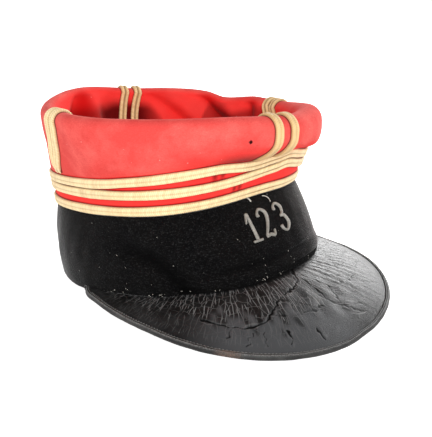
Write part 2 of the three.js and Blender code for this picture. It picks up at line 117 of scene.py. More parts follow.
world = bpy.data.worlds.new("white_room")
bpy.context.scene.world = world
world.use_nodes = True
room = world.node_tree
direction = room.nodes.new("ShaderNodeTexCoord")
climb = room.nodes.new("ShaderNodeSeparateXYZ")
fade = room.nodes.new("ShaderNodeMapRange")
fade.interpolation_type = "SMOOTHSTEP"
steps = {"From Min": WALL_TOP, "From Max": CEILING_FROM, "To Min": WALL_LIGHT, "To Max": CEILING_LIGHT}
for socket, value in steps.items():
    fade.inputs[socket].default_value = value
room.links.new(direction.outputs["Generated"], climb.inputs["Vector"])
room.links.new(climb.outputs["Z"], fade.inputs["Value"])
room.links.new(fade.outputs["Result"], room.nodes["Background"].inputs["Strength"])
room.nodes["Background"].inputs["Color"].default_value = (1, 1, 1, 1)
bpy.context.scene.view_settings.view_transform = "Standard"
print("room:", world.name)

# %% [markdown]
# ## The cap's ovals
# Seen from above, the cap is a stack of ovals: the band's foot, the band's top, the crown's rim and
# the floor of the sunken top. The same few sizes drive the solids, so they are given here again, in
# millimetres. Angles go round the cap in degrees: 0 is the front, 90 the wearer's right, 180 the back.

# %% Ovals and heights
MM = 0.001
FOOT = {"front": 97.3, "back": 96.7, "half": 82.5, "centre": 0.0, "power": 2.2}
BAND_TOP = {"front": 70.2, "back": 88.2, "half": 77.1, "centre": 4.2, "power": 2.6}
RIM = {"front": 95.5, "back": 99.2, "half": 93.6, "centre": 1.7, "power": 1.95}
WELL = {"front": 60.0, "back": 66.0, "half": 63.0, "centre": 3.0, "power": 2.0}
FOOT_HEIGHT, BAND_TOP_HEIGHT, WELL_HEIGHT = (13.4, 15, 1.4), (61, 11), (78, 4)
CAP_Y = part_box("band")[0].y / MM + FOOT["front"]
UP = np.array([0.0, 0.0, 1.0])


def oval(shape, angle, height=0.0, grow=0.0):
    """Places on an oval, in millimetres, at a height and with its half sizes grown."""
    c, s = np.cos(np.radians(angle)), np.sin(np.radians(angle))
    power = shape["power"]
    reach = (np.abs(c) ** power + np.abs(s) ** power) ** (-1 / power)
    along = np.where(c > 0, shape["front"], shape["back"]) + grow
    x = -(shape["half"] + grow) * s * reach
    y = shape["centre"] - along * c * reach
    return np.stack([x, y, height + 0 * x], -1)


def unit(vectors):
    return vectors / np.linalg.norm(vectors, axis=-1, keepdims=True)


def outward(shape, angle):
    """Level unit vectors that point out of an oval."""
    step = oval(shape, np.asarray(angle) + 0.5) - oval(shape, np.asarray(angle) - 0.5)
    return unit(np.cross(UP, step))


def leaning(angle, middle, lean, saddle=0.0):
    """Heights on a ring that is tilted from front to back, and perhaps bent like a saddle."""
    turn = np.radians(angle)
    return middle + lean * np.cos(turn) + saddle * np.cos(2 * turn)


print(f"cap shifted {CAP_Y:.1f} mm along Y")

# %% [markdown]
# ## Curves through short tables
# The crown isn't the same all round, so its numbers come from short tables, a row for each angle.
# A smooth closed curve through the rows gives every angle between them. Soft dents and creases are bumps of a
# chosen width, and a little waviness is a sum of a few seeded waves that close round the cap, so the result is
# the same each time. Places near a given line are found leg by leg.

# %% Tables, bumps and waves
def around(table, column, angle):
    """A smooth closed curve through a table's column, at any angle."""
    knots = np.array(table["angle"], float)
    values = np.array(table[column], float)
    knots = np.concatenate([knots[-2:] - 360, knots, knots[:2] + 360])
    values = np.concatenate([values[-2:], values, values[:2]])
    turned = (np.asarray(angle, float) - table["angle"][0]) % 360 + table["angle"][0]
    low = np.clip(np.searchsorted(knots, turned, side="right") - 1, 1, len(knots) - 3)
    span, rise = knots[low + 1] - knots[low], values[low + 1] - values[low]
    t = (turned - knots[low]) / span
    start = (values[low + 1] - values[low - 1]) / (knots[low + 1] - knots[low - 1])
    end = (values[low + 2] - values[low]) / (knots[low + 2] - knots[low])
    bend = (start * span - rise) * (1 - t) + (rise - end * span) * t
    return values[low] + rise * t + bend * t * (1 - t)


def away(angle, middle):
    """Degrees from middle, from -180 to 180."""
    return np.mod(np.asarray(angle) - middle + 180, 360) - 180


def bump(offset, width):
    """1 in the middle, 0 from half the width on."""
    return 0.5 + 0.5 * np.cos(np.pi * np.minimum(1, np.abs(offset) / (width / 2)))


def smooth(value, low, high):
    """A soft step: 0 up to low, 1 from high on."""
    t = np.clip((value - low) / (high - low), 0, 1)
    return t * t * (3 - 2 * t)


def waves(angle, up, seed, finest, longest_up, count=24):
    """Seeded waves from about -1 to 1 that close round the cap."""
    pick = np.random.default_rng(seed)
    total = 0
    for _ in range(count):
        turns = pick.integers(2, finest)
        climb = 2 * math.pi / (longest_up * pick.uniform(0.4, 1.0)) * pick.choice([-1, 1])
        total = total + np.sin(np.radians(angle) * turns + up * climb + pick.uniform(0, 2 * math.pi))
    return total / math.sqrt(count)


def waver(angle, up, kind):
    """Waves of a chosen height: kind gives the height, the seed and the shortest and longest of them."""
    return kind["high"] * waves(angle, up, kind["seed"], kind["finest"], kind["longest"])


def columns(table, *names):
    """The rows of a table, with the columns named."""
    return zip(*(table[name] for name in names))


def to_path(x, y, path):
    """How far places are from a path of straight legs, and how far along it, from 0 to 1, they are."""
    best, along = np.full(np.shape(x), 1e9), np.zeros(np.shape(x))
    legs = list(zip(path[:-1], path[1:]))
    for n, ((x0, y0), (x1, y1)) in enumerate(legs):
        dx, dy = x1 - x0, y1 - y0
        px, py = x - x0, y - y0
        s = np.clip((px * dx + py * dy) / (dx * dx + dy * dy), 0, 1)
        gap = np.hypot(px - s * dx, py - s * dy)
        along = np.where(gap < best, (n + s) / len(legs), along)
        best = np.minimum(best, gap)
    return best, along


print("a bump 10 wide, 0, 2.5 and 5 from its middle:", bump(np.array([0, 2.5, 5]), 10))

# %% [markdown]
# ## A skin over sections
# Nearly every piece is a run of sections: slices round the cap for the cloth, slices along the way
# for the braid. One helper joins them into a mesh and writes a UV map called lay, in millimetres along
# the run and across the section, so that a weave can follow the cloth instead of the room.

# %% Mesh helpers
def place(obj, *nodes, slot):
    """Puts a piece in the scene, on the cap's one body, in place of the solids it stands for."""
    bpy.context.scene.collection.objects.link(obj)
    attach(obj, "root")
    if nodes:
        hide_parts(*nodes)
    return obj


def strip_faces(runs, size, ring):
    """The quads between neighbouring sections: their points, and their steps along and across."""
    i, k = np.meshgrid(np.arange(runs if ring else runs - 1), np.arange(size), indexing="ij")
    i, k = i.ravel(), k.ravel()
    n, m = i + 1, k + 1
    corners = np.stack([i, i, n, n], -1), np.stack([k, m, m, k], -1)
    return (corners[0] % runs) * size + corners[1] % size, corners


def lengths(points, axis, closed):
    """Millimetres from the start of each row, averaged over the other axis."""
    step = np.roll(points, -1, axis=axis) - points if closed else np.diff(points, axis=axis)
    size = np.linalg.norm(step, axis=-1).mean(axis=1 - axis)
    return np.concatenate([[0], np.cumsum(size)])


def skin(name, sections, ring, lay=None, ends=False):
    """A smooth mesh over closed sections[run, section, xyz], in millimetres of the cap's own frame."""
    runs, size = sections.shape[:2]
    faces, (i, k) = strip_faces(runs, size, ring)
    along, across = lay or (lengths(sections, 0, ring), lengths(sections, 1, True))
    spots = ((sections.reshape(-1, 3) + [0, CAP_Y, 0]) * MM).tolist()
    polygons = faces.tolist()
    uv = np.stack([along[i], across[k]], -1).reshape(-1, 2)
    if ends:
        polygons += [list(range(size))[::-1], [(runs - 1) * size + j for j in range(size)]]
        first = np.stack([np.zeros(size), across[:size][::-1]], -1)
        last = np.stack([np.full(size, along[runs - 1]), across[:size]], -1)
        uv = np.concatenate([uv, first, last])
    mesh = bpy.data.meshes.new(name)
    mesh.from_pydata(spots, [], polygons)
    mesh.uv_layers.new(name="lay").data.foreach_set("uv", uv.astype(np.float32).ravel())
    mesh.shade_smooth()
    mesh.update()
    return bpy.data.objects.new(name, mesh)


def normals_of(sections):
    """Unit vectors square to a ring of sections, on the side that shows."""
    along = np.roll(sections, -1, axis=0) - np.roll(sections, 1, axis=0)
    return unit(np.cross(np.gradient(sections, axis=1), along))


def store(obj, name, values):
    """Keeps a number, or three, for each point of a skin, for its material to read."""
    kind, field = ("FLOAT_VECTOR", "vector") if values.ndim == 3 else ("FLOAT", "value")
    kept = obj.data.attributes.new(name, kind, "POINT")
    kept.data.foreach_set(field, values.astype(np.float32).ravel())


def count_triangles(obj):
    return sum(len(p.vertices) - 2 for p in obj.data.polygons)


print("quads of a ring of 4 sections with 3 points:", len(strip_faces(4, 3, True)[0]))

# %% [markdown]
# ## The black band
# The band is a wool wall about 2 mm thick that leans back at the front. Its foot is turned under and
# sewn to the peak, so the last few millimetres roll inwards, with a soft crease above the turned edge.
# A dent runs down the right side to the foot, wider above its line than below. All of this could be bump, but
# it shows in the outline, so it is moved into the mesh: the wall is a grid, and each feature pushes its points
# in or out. How far a place is pressed in is stored, for the material to paint it blacker there as shade.

# %% Foot, dent and crease of the band
HEM = {"height": 6.5, "under": 1.0, "bulge": 1.2, "wide": 13, "drop": 1.6, "from": 50, "to": -70, "fade": 25}
HEM_CREASE = {"up": 11.0, "deep": 1.5, "wide": 7, "starts": (-32, -6), "ends": (24, 46)}
CORNER_DIP = {"angle": 103, "width": 50, "down": 2.2, "share": 0.35}
CORNER = {"angle": -15, "push": 2.6, "front": 26, "side": 70}
DENT_PATH = [(86, 0.66), (77, 0.63), (70.5, 0.57), (60, 0.45), (54, 0.27), (51, 0.1), (50, 0.0)]
DENT = {"deep": 4.2, "above": 32.0, "below": 17.0}
BAND_HEIGHT = 50.0
MM_PER_DEGREE = 1.45


def foot_ring(angle):
    return oval(FOOT, angle, np.maximum(0, leaning(angle, *FOOT_HEIGHT)))


def corner_push(angle):
    """Millimetres that the crown and the band's top bulge at the front corner of the left side."""
    off = away(angle, CORNER["angle"])
    wide = np.where(off > 0, CORNER["front"], CORNER["side"])
    return CORNER["push"] * np.maximum(0, 1 - np.abs(off) / wide) ** 1.2


def band_top_ring(angle):
    ring = oval(BAND_TOP, angle, leaning(angle, *BAND_TOP_HEIGHT))
    return ring + outward(BAND_TOP, angle) * corner_push(angle)[..., None]


def dented(angle, up):
    """How deep in the dent a place is, from 0 to 1. The dent is wider above its line than below."""
    line = [(a * MM_PER_DEGREE, share * BAND_HEIGHT) for a, share in DENT_PATH]
    side = away(angle, 0) * MM_PER_DEGREE
    gap, along = to_path(side, up, line)
    line_sides, line_ups = zip(*line[::-1])
    above = up > np.interp(side, line_sides, line_ups)
    return bump(gap, np.where(above, DENT["above"], DENT["below"])) * smooth(along, 0, 0.5)


def hemmed(angle):
    """How far a place along the foot belongs to the turned hem, from 0 to 1."""
    side = away(angle, 0)
    start = smooth(side, HEM["to"] - HEM["fade"], HEM["to"])
    return start * (1 - smooth(side, HEM["from"], HEM["from"] + HEM["fade"]))


def creased(angle):
    """How far a place along the hem is creased, from 0 to 1."""
    side = away(angle, 0)
    return smooth(side, *HEM_CREASE["starts"]) * (1 - smooth(side, *HEM_CREASE["ends"]))


print(f"dent {DENT['deep']} mm deep, hem {HEM['height']} mm high")

# %% Band
ROUND = 420
CLOTH = 2.0
BAND_BOW = 2.2
BAND_WAVER = {"high": 0.15, "seed": 3, "finest": 40, "longest": 60}
BAND_SHARES = np.concatenate([np.linspace(0, 0.16, 14)[:-1], np.linspace(0.16, 1, 40)])
INNER_EVERY = 6
# How strongly the crease above the hem is painted blacker, as shade.
CREASE_SHADE = {"crease": 0.8, "up": 12.0, "wide": 9}


def band_wall(angle, t):
    """The band's outer side: t goes from 0 at its foot to 1 at its top."""
    angle, t = np.broadcast_arrays(np.asarray(angle, float), np.asarray(t, float))
    low, high = foot_ring(angle), band_top_ring(angle)
    up = t * np.linalg.norm(high - low, axis=-1)
    belly = 4 * t * (1 - t)
    hem = hemmed(angle)
    push = (BAND_BOW + waver(angle, up, BAND_WAVER)) * belly
    push = push - HEM["under"] * np.maximum(0, 1 - up / HEM["height"]) ** 2.2 * hem
    push = push + HEM["bulge"] * bump(up - HEM["height"], HEM["wide"]) * hem
    push = push - HEM_CREASE["deep"] * bump(up - HEM_CREASE["up"], HEM_CREASE["wide"]) * creased(angle)
    push = push - DENT["deep"] * dented(angle, up)
    dip = CORNER_DIP["down"] * bump(np.abs(away(angle, 0)) - CORNER_DIP["angle"], CORNER_DIP["width"])
    sink = (HEM["drop"] * hem + dip) * np.maximum(0, 1 - t / CORNER_DIP["share"])
    wall = (low - UP * sink[..., None]) * (1 - t[..., None]) + high * t[..., None]
    return wall + outward(FOOT, angle) * push[..., None]


angles = np.arange(ROUND) * 360 / ROUND
wall = band_wall(angles[:, None], BAND_SHARES[None, :])
inner = wall[:, ::INNER_EVERY] - outward(FOOT, angles)[:, None, :] * CLOTH
band = skin("band_wool", np.concatenate([wall, inner[:, ::-1]], 1), ring=True)
up = BAND_SHARES[None, :] * np.linalg.norm(band_top_ring(angles) - foot_ring(angles), axis=1)[:, None]
# Painted shade: how far the dent and the crease are painted blacker.
pressed = dented(angles[:, None] + 0 * up, up) ** 2
crease = CREASE_SHADE["crease"] * bump(up - CREASE_SHADE["up"], CREASE_SHADE["wide"]) * creased(angles)[:, None]
pressed = np.maximum(pressed, crease)
store(band, "pressed", np.pad(pressed, ((0, 0), (0, inner.shape[1]))))
place(band, "band", slot="black_wool")
print("band:", count_triangles(band), "triangles")

# %% [markdown]
# ## The red crown
# The crown is one piece of red wool. It leaves the band under the rows of braid, puffs out, rolls
# over at the rim and goes down inside as the wall of the sunken top. One run of points tells that
# story at each angle. It isn't even: the rim is low at the back left and the cloth puffs out most at
# the front left, so tables by angle give its flare, rim, roll and puff.

# %% Crown tables
GAP = 0.3
BRAID_WIDTH = 6.2
CROWN = {
    "angle": [0, 30, 60, 95, 130, 168, 200, 228, 240, 249, 266, 284, 306, 328, 348],
    "flare": [6.5, 6.5, 5.5, 3.5, 2.5, 2.5, 3, 3.5, 4, 4, 4.5, 5.5, 7.5, 7.5, 7.5],
    "rim": [
        124.6, 127.6, 126.8, 125.3, 124, 127, 122.4, 120.8, 119, 115, 117.5, 117, 120.5, 124.2, 123.6
    ],
    "roll": [8.5, 7, 6, 5.5, 5.5, 5, 5, 5, 5, 5, 5.5, 7, 9, 9.3, 9.5],
    "puff": [2.9, 2.5, 1.9, 1.3, 1.1, 1.1, 1.2, 1.3, 1.4, 1.5, 1.6, 2.4, 6.5, 5.5, 4.5],
}
UPPER_ROW = {
    "angle": [10, 28, 63, 80, 105, 180, 270, 325, 336, 346, 354],
    "height": [22.1, 24.9, 22.9, 21.4, 20.9, 21, 21.4, 20.2, 22.1, 24.6, 23.2],
}


def rows_height(angle):
    """How high the rows of braid reach above the band's top."""
    return around(UPPER_ROW, "height", angle) + BRAID_WIDTH / 2 + GAP


def rows_top_ring(angle):
    height = leaning(angle, *BAND_TOP_HEIGHT) + rows_height(angle)
    ring = oval(BAND_TOP, angle, height, around(CROWN, "flare", angle))
    return ring + outward(BAND_TOP, angle) * corner_push(angle)[..., None]


print("rim from", min(CROWN["rim"]), "to", max(CROWN["rim"]), "mm")

# %% [markdown]
# ## Folds, pleats and creases
# Cloth this soft keeps the shape that it was pressed into. Broad folds run down both sides of the
# crown. On the inner wall four pleats stand up, steep on one side, and sharp valleys are drawn beside
# them. Each is a row of a table, with its angle at the rim and how far it drifts on its way down. They
# could be sculpted, but a table keeps every fold at its place when the grid is made finer.

# %% Folds, pleats and creases
FOLDS = {
    "angle": [8, 38, 76, 102, 138, 166, 200, 219, 243, 272, 298, 334],
    "width": [26, 34, 30, 24, 28, 24, 24, 24, 26, 22, 32, 30],
    "drift": [0, 6, -6, 0, 4, 6, 4, -10, -12, 0, 4, -4],
    "outer": [1, -1, -1, 1.5, -0.5, 0.5, 1, -0.5, 1, 1.5, -1, -1],
    "inner": [-1.5, 3, 3.5, -1.5, 3, 4.5, -1.5, 4, 5.5, -1.5, 3, 3.5],
}
PLEATS = {
    "valley": [161, 208, 236, 265],
    "crest": [173, 219, 247, 272],
    "end": [190, 232, 262, 282],
    "drift": [-24, 36, 36, 4],
    "height": [6.5, 5, 6.5, 3.5],
    "shade": [1, 0.45, 1, 1],
}
PLEAT_SHADE = {"up": 0.4, "wide": 1.7}
CREASES = {
    "rim": [161, 208, 236, 265, 127, 96, 288],
    "drift": [-24, 36, 36, 4, 8, -10, -8],
    "width": [7, 8, 8, 6, 12, 12, 12],
    "deep": [3.5, 3, 3.5, 3, 1.0, 1.0, 1.2],
}


def fold_depth(angle, side, down):
    depth = 0
    for a, width, drift, size in columns(FOLDS, "angle", "width", "drift", side):
        depth = depth + size * bump(away(angle, a + drift * down), width)
    return depth


def pleat_height(angle, down):
    height = 0
    for valley, crest, end, drift, high in columns(PLEATS, "valley", "crest", "end", "drift", "height"):
        off = away(angle, crest + drift * down)
        height = height + high * bump(off, 2 * np.where(off < 0, crest - valley, end - crest))
    return height


def fold_shade(angle, down):
    """Painted shade: 1 on the steep side of each pleat."""
    shade = 0
    for valley, crest, drift, most in columns(PLEATS, "valley", "crest", "drift", "shade"):
        middle = valley + PLEAT_SHADE["up"] * (crest - valley) + drift * down
        shade = shade + most * bump(away(angle, middle), PLEAT_SHADE["wide"] * (crest - valley))
    return shade


def crease_depth(angle, down):
    depth = 0
    for rim, drift, width, deep in columns(CREASES, "rim", "drift", "width", "deep"):
        off = np.abs(away(angle, rim + drift * down)) / width
        depth = depth + deep * np.maximum(0, 1 - off) ** 1.6
    return depth


print("folds, pleats, creases:", len(FOLDS["angle"]), len(PLEATS["crest"]), len(CREASES["rim"]))

# %% [markdown]
# ## The crown's run
# The run has four stages: up behind the rows, out over the puff, round the roll of the rim and down the
# well, as the sunken top is called here. Each stage has its own number of steps. The folds fade in and
# out along it, so that no edge shows where they start. The hidden side is the same run, one thickness
# of cloth further in and coarser.

# %% Crown
ROWS_STEPS, PUFF_STEPS, ROLL_STEPS, WELL_STEPS = 10, 30, 16, 32
PUFF_FROM = ROWS_STEPS
ROLL_FROM = PUFF_FROM + PUFF_STEPS
WELL_FROM = ROLL_FROM + ROLL_STEPS
LIP_TURN = 162
WELL_STEEPNESS = 1.7
PLEAT_RISE = 0.6
PUFF_WAVER = {"high": 0.35, "seed": 11, "finest": 26, "longest": 50}
WELL_WAVER = {"high": 0.3, "seed": 17, "finest": 30, "longest": 60}
PUFF_TALL, WELL_TALL = 30, 40
HIDDEN_EVERY = 3


def crown_side(angle):
    """The crown's visible side: points[angle, run, xyz], with the run's four stages one after another."""
    a = np.asarray(angle, float)
    base = band_top_ring(a) + UP * GAP
    rows_top = rows_top_ring(a)
    floor_ring = oval(WELL, a, leaning(a, *WELL_HEIGHT))
    roll = around(CROWN, "roll", a)
    widest = oval(RIM, a, around(CROWN, "rim", a) - roll)
    out = unit((widest - floor_ring) * [1, 1, 0])
    run = [base + (rows_top - base) * t for t in np.linspace(0, 1, ROWS_STEPS)]
    puff = around(CROWN, "puff", a)
    for t in np.linspace(0, 1, PUFF_STEPS + 1)[1:]:
        swell = (1 - (1 - t) ** puff)[:, None]
        point = rows_top + (widest - rows_top) * swell
        point[:, 2] = rows_top[:, 2] + (widest - rows_top)[:, 2] * t
        depth = fold_depth(a, "outer", 0) * math.sin(math.pi * t / 2)
        ripple = waver(a, t * PUFF_TALL, PUFF_WAVER) * math.sin(math.pi * t)
        run.append(point + out * (ripple - depth)[:, None])
    middle = run[-1] - out * roll[:, None]
    for turn in np.radians(np.linspace(0, LIP_TURN, ROLL_STEPS + 1)[1:]):
        run.append(middle + (out * math.cos(turn) + UP * math.sin(turn)) * roll[:, None])
    lip = run[-1]
    for t in np.linspace(0, 1, WELL_STEPS + 1)[1:]:
        point = lip + (floor_ring - lip) * t**WELL_STEEPNESS
        point[:, 2] = lip[:, 2] + (floor_ring - lip)[:, 2] * t
        height = (fold_depth(a, "inner", t) + waver(a, t * WELL_TALL, WELL_WAVER)) * math.sin(math.pi * t)
        height = height + (pleat_height(a, t) - crease_depth(a, t)) * math.sin(math.pi * t**PLEAT_RISE)
        run.append(point - out * height[:, None])
    return np.stack(run, 1)


crown_points = crown_side(angles)
crown_normals = normals_of(crown_points)
hidden = (crown_points - crown_normals * CLOTH)[:, ::HIDDEN_EVERY]
crown = skin("crown_wool", np.concatenate([crown_points, hidden[:, ::-1]], 1), ring=True)
place(crown, "crown", slot="red_wool")
print("crown:", count_triangles(crown), "triangles")

# %% [markdown]
# ## Painted shade on the crown
# Shade is painted into the red. Behind the braid, under the puff, in the sunken top and on the steep sides of
# its pleats the cloth is given a saturated red as painted shade. Three numbers are stored on the crown's points
# for it: one for the saturated red, one for the painted shade on the pleats, and one for the darkest painted
# shade, deep in the sunken top and as a painted shadow under the front of the puff. A material can't know where
# a fold is, but the mesh does.

# %% Painted shade on the crown
SATURATED_SHADE_AMOUNTS = {"rows": 0.9, "well": 0.85, "slopes": 0.8, "from": 0.38, "to": 0.82, "lip_steps": 6}
# Painted shade deep in the sunken top: where it starts down the wall, and how dark, by angle.
DEEP_SHADE = {
    "angle": [20, 140, 165, 174, 181, 188, 202, 208, 213, 218, 236, 241, 248, 256, 264, 272, 290],
    "from": [
        0.12, 0.12, 0.1, 0.12, 0.12, 0.06, 0.08, 0.12, 0.3, 0.6, 0.6, 0.05, -0.08, 0.1, 0.06, -0.06, 0.1
    ],
    "most": [0.9, 0.9, 0.7, 0.85, 1.1, 1.1, 1.1, 0.8, 0.5, 0.9, 0.9, 0.55, 0.75, 0.85, 0.7, 0.7, 0.9],
}
DEEP_SHADE_FADE = 0.22
DEEP_SHADE_LEFT_BELOW = 0.5
# A painted shadow under the front of the puff, above the upper row.
OVERHANG_SHADOW = {"middle": 16, "wide": 34, "steps": 11}
FOLD_LIP = np.linspace(0.2, 0.8, 4)


def on_outside(values):
    """A skin's worth of numbers from those of the crown's visible side, with 0 on the hidden side."""
    return np.pad(values, ((0, 0), (0, hidden.shape[1])) + ((0, 0),) * (values.ndim - 2))


down = np.linspace(0, 1, WELL_STEPS + 1)[1:]
lip_from = WELL_FROM - SATURATED_SHADE_AMOUNTS["lip_steps"]
# Painted shade: cloth that faces down, the cloth behind the rows and the sunken top get a saturated red.
sheltered = SATURATED_SHADE_AMOUNTS["slopes"] * smooth(-crown_normals[..., 2], SATURATED_SHADE_AMOUNTS["from"], SATURATED_SHADE_AMOUNTS["to"])
sheltered[:, :ROWS_STEPS] = SATURATED_SHADE_AMOUNTS["rows"]
sheltered[:, lip_from:WELL_FROM] = np.linspace(0, SATURATED_SHADE_AMOUNTS["slopes"], SATURATED_SHADE_AMOUNTS["lip_steps"])
sheltered[:, WELL_FROM:] = SATURATED_SHADE_AMOUNTS["well"]

# Painted shade: darker down the sunken top, and a painted shadow under the front of the puff.
start = around(DEEP_SHADE, "from", angles)[:, None]
most = around(DEEP_SHADE, "most", angles)[:, None] * (1 - (1 - DEEP_SHADE_LEFT_BELOW) * smooth(down, 0.5, 1))
puff_shadow = bump(away(angles, OVERHANG_SHADOW["middle"]), OVERHANG_SHADOW["wide"])[:, None]
deep = np.zeros(crown_points.shape[:2])
deep[:, WELL_FROM:] = most * smooth(down[None, :], start, start + DEEP_SHADE_FADE)
deep[:, PUFF_FROM : PUFF_FROM + OVERHANG_SHADOW["steps"]] = puff_shadow * np.linspace(1, 0, OVERHANG_SHADOW["steps"])

# Painted shade on the steep side of each pleat, fading in over the lip.
folded = np.zeros(deep.shape)
folded[:, WELL_FROM:] = fold_shade(angles[:, None], down[None, :])
folded[:, WELL_FROM - len(FOLD_LIP) : WELL_FROM] = folded[:, WELL_FROM, None] * FOLD_LIP
for name, values in (("sheltered", sheltered), ("deep", deep), ("folded", folded)):
    store(crown, name, on_outside(values))
    print(f"{name}: {values.mean():.2f} on average, {values.max():.2f} at most")

# %% [markdown]
# ## The floor of the sunken top
# A disc of the same wool closes the crown at the bottom. It sags a little in the middle. It is built
# as rings that shrink to the centre, on both sides of the cloth, so it is a closed piece too. Its edge
# turns down and out under the foot of the wall, as a seam does, so no light comes through between them.
# It shares the crown's material, so it stores the same kinds of numbers, even all over, and is painted with the
# same shade.

# %% Crown top
WELL_SAG = 4.0
TOP_RINGS = np.linspace(0.0001, 1, 26) ** 0.8
TOP_SEAM = {"share": 1.04, "drop": 2.2}
TOP_WAVER = {"high": 0.5, "seed": 23, "finest": 7, "longest": 60}
FAR_OFF = 30.0
TOP_SHADE = {"sheltered": 0.85, "deep": 0.45, "from_strand": FAR_OFF}
LOWER_EVERY = 5


def top_disc(angle, share, drop):
    """One ring of the disc: share goes from 0 at its middle to 1 at its edge."""
    a = np.asarray(angle, float)
    edge = oval(WELL, a, leaning(a, *WELL_HEIGHT), -2 * GAP)
    middle = np.array([0, WELL["centre"], WELL_HEIGHT[0]])
    disc = middle + (edge - middle) * share
    sag = waver(a, share * WELL_TALL, TOP_WAVER) * share * (1 - share) * 4 - WELL_SAG * (1 - share**2)
    return disc + UP * (sag - drop)[:, None]


def top_side(rings, drop):
    """One side of the disc, with the edge that turns down."""
    half = angles[::2]
    edge = top_disc(half, TOP_SEAM["share"], TOP_SEAM["drop"] + drop)
    return [top_disc(half, share, drop) for share in rings] + [edge]


disc = np.stack(top_side(TOP_RINGS, 0) + top_side(TOP_RINGS[::LOWER_EVERY], CLOTH)[::-1], 1)
crown_top = skin("crown_top_wool", disc, ring=True)
# Painted shade on the disc, the same all over.
for name, value in TOP_SHADE.items():
    store(crown_top, name, np.full(disc.shape[:2], value))
store(crown_top, "from_rows", np.full(disc.shape, FAR_OFF))
place(crown_top, "crown_top", slot="red_wool")
print("crown top:", count_triangles(crown_top), "triangles")

# %% [markdown]
# ## Flat gold braid
# Soutache is two cords woven together by a thread that goes over one and under the other. Its section
# is two round ridges with a groove, and the thread lies in slanting turns that mirror in the groove.
# The turns are about a millimetre apart, so they are modelled: the section is swept along the cloth
# with a small herringbone ripple. The second number of its lay map is 0 in the groove, which the
# material uses later.

# %% Braid section
BRAID_EDGE, BRAID_CORD = 0.25, 1.15
BRAID_UNEVEN = {"wide": 0.12, "every": 9.0}
BRAID_END = {"thin": 0.35, "narrow": 0.6}
THREAD_PITCH, THREAD_SLANT, THREAD_RELIEF = 1.15, 1.1, 0.11
RELIEF_LEAST = 0.35
BRAID_STEP = 0.24
BRAID_ACROSS = np.linspace(-1, 1, 15)


def braid_skin(name, points, across, normal, ring, gap, groove, taper=0.0):
    """A braid along points, with the directions across it and out of the cloth at each of them."""
    along = lengths(points[:, None, :], 0, ring)
    run = along[: len(points)]
    x = BRAID_ACROSS[None, :]
    cords = np.sqrt(np.maximum(0, 1 - ((np.abs(x) - 0.5) / 0.5) ** 2))
    ridge = groove * cords + (1 - groove) * np.sqrt(np.maximum(0, 1 - x**4))
    thread = np.abs(np.sin(math.pi * (run[:, None] / THREAD_PITCH + THREAD_SLANT * np.abs(x))))
    thread = THREAD_RELIEF * thread * (RELIEF_LEAST + (1 - RELIEF_LEAST) * ridge)
    lift = BRAID_EDGE + BRAID_CORD * ridge + thread
    half = BRAID_WIDTH / 2 + BRAID_UNEVEN["wide"] * np.sin(run / BRAID_UNEVEN["every"])
    if taper:
        full = smooth(np.minimum(run, run[-1] - run), 0, taper)
        lift = lift * (BRAID_END["thin"] + (1 - BRAID_END["thin"]) * full)[:, None]
        half = half * (BRAID_END["narrow"] + (1 - BRAID_END["narrow"]) * full)
    low_x = np.array([[1.0, -1.0]])
    sideways = half[:, None] * np.concatenate([x, low_x], 1)
    upward = np.concatenate([gap + lift, np.full((len(points), 2), gap / 2)], 1)
    sections = points[:, None] + across[:, None] * sideways[..., None] + normal[:, None] * upward[..., None]
    v = np.concatenate([BRAID_ACROSS, [1, -1, -1]]) * BRAID_WIDTH / 2
    return skin(name, sections, ring=ring, lay=(along, v), ends=not ring)


def resample(path, step, closed=False):
    """Even steps along a path[points, columns]: the first three columns are its place."""
    if closed:
        path = np.concatenate([path, path[:1]])
    run = np.concatenate([[0], np.cumsum(np.linalg.norm(np.diff(path[:, :3], axis=0), axis=1))])
    count = int(round(run[-1] / step))
    at = np.linspace(0, run[-1], count + 1)[: count if closed else None]
    return np.stack([np.interp(at, run, column) for column in path.T], 1)


print(f"thread turns every {THREAD_PITCH} mm")

# %% [markdown]
# ## Three rows round the crown
# The rows lie one above another over the crown's foot. The lowest covers the seam to the band, and the two
# upper ones run apart on the right side and touch at the front. Each row is a closed path at its own height on
# the wall, sampled in even steps so that the thread keeps its pitch. Two numbers go to the materials: how
# soiled a row is, which is most at the front, and how far the cloth is from each row, for a painted shadow as a
# dark line beside the braid.

# %% Braid rows
ROWS = {
    "braid_row_lower": {"angle": [0, 90, 180, 270], "height": [3.5, 3.5, 3.5, 3.5]},
    "braid_row_middle": {
        "angle": [10, 28, 90, 180, 270, 325, 336, 346, 354],
        "height": [15, 14.3, 14.3, 14.3, 13.6, 13.4, 15.4, 17.9, 16.5],
    },
    "braid_row_upper": UPPER_ROW,
}
ROW_GROOVE = 0.35
SOILED = {"middle": -2, "wide": 64}


def on_rows_wall(angle, height):
    """A place on the cloth behind the rows, with the directions up and out of it."""
    low = band_top_ring(angle)
    up = rows_top_ring(angle) - low
    point = low + up * (height / rows_height(angle))[:, None]
    along = band_top_ring(angle + 0.5) - band_top_ring(angle - 0.5)
    return point, unit(up), unit(np.cross(unit(up), along))


def make_row(name, table):
    fine = np.arange(0, 360, 0.25)
    point, up, normal = on_rows_wall(fine, around(table, "height", fine))
    path = resample(np.concatenate([point, up, normal], 1), BRAID_STEP, closed=True)
    point, up, normal = path[:, :3], path[:, 3:6], unit(path[:, 6:])
    row = braid_skin(name + "_cord", point, up, normal, True, GAP, ROW_GROOVE)
    at = np.degrees(np.arctan2(-path[:, 0], BAND_TOP["centre"] - path[:, 1]))
    soiled = bump(away(at, SOILED["middle"]), SOILED["wide"])[:, None]
    store(row, "soiled", np.repeat(soiled, len(row.data.vertices) // len(path), 1))
    return place(row, name, slot="gold_braid")


rows = [make_row(name, table) for name, table in ROWS.items()]
print("rows:", [count_triangles(row) for row in rows])

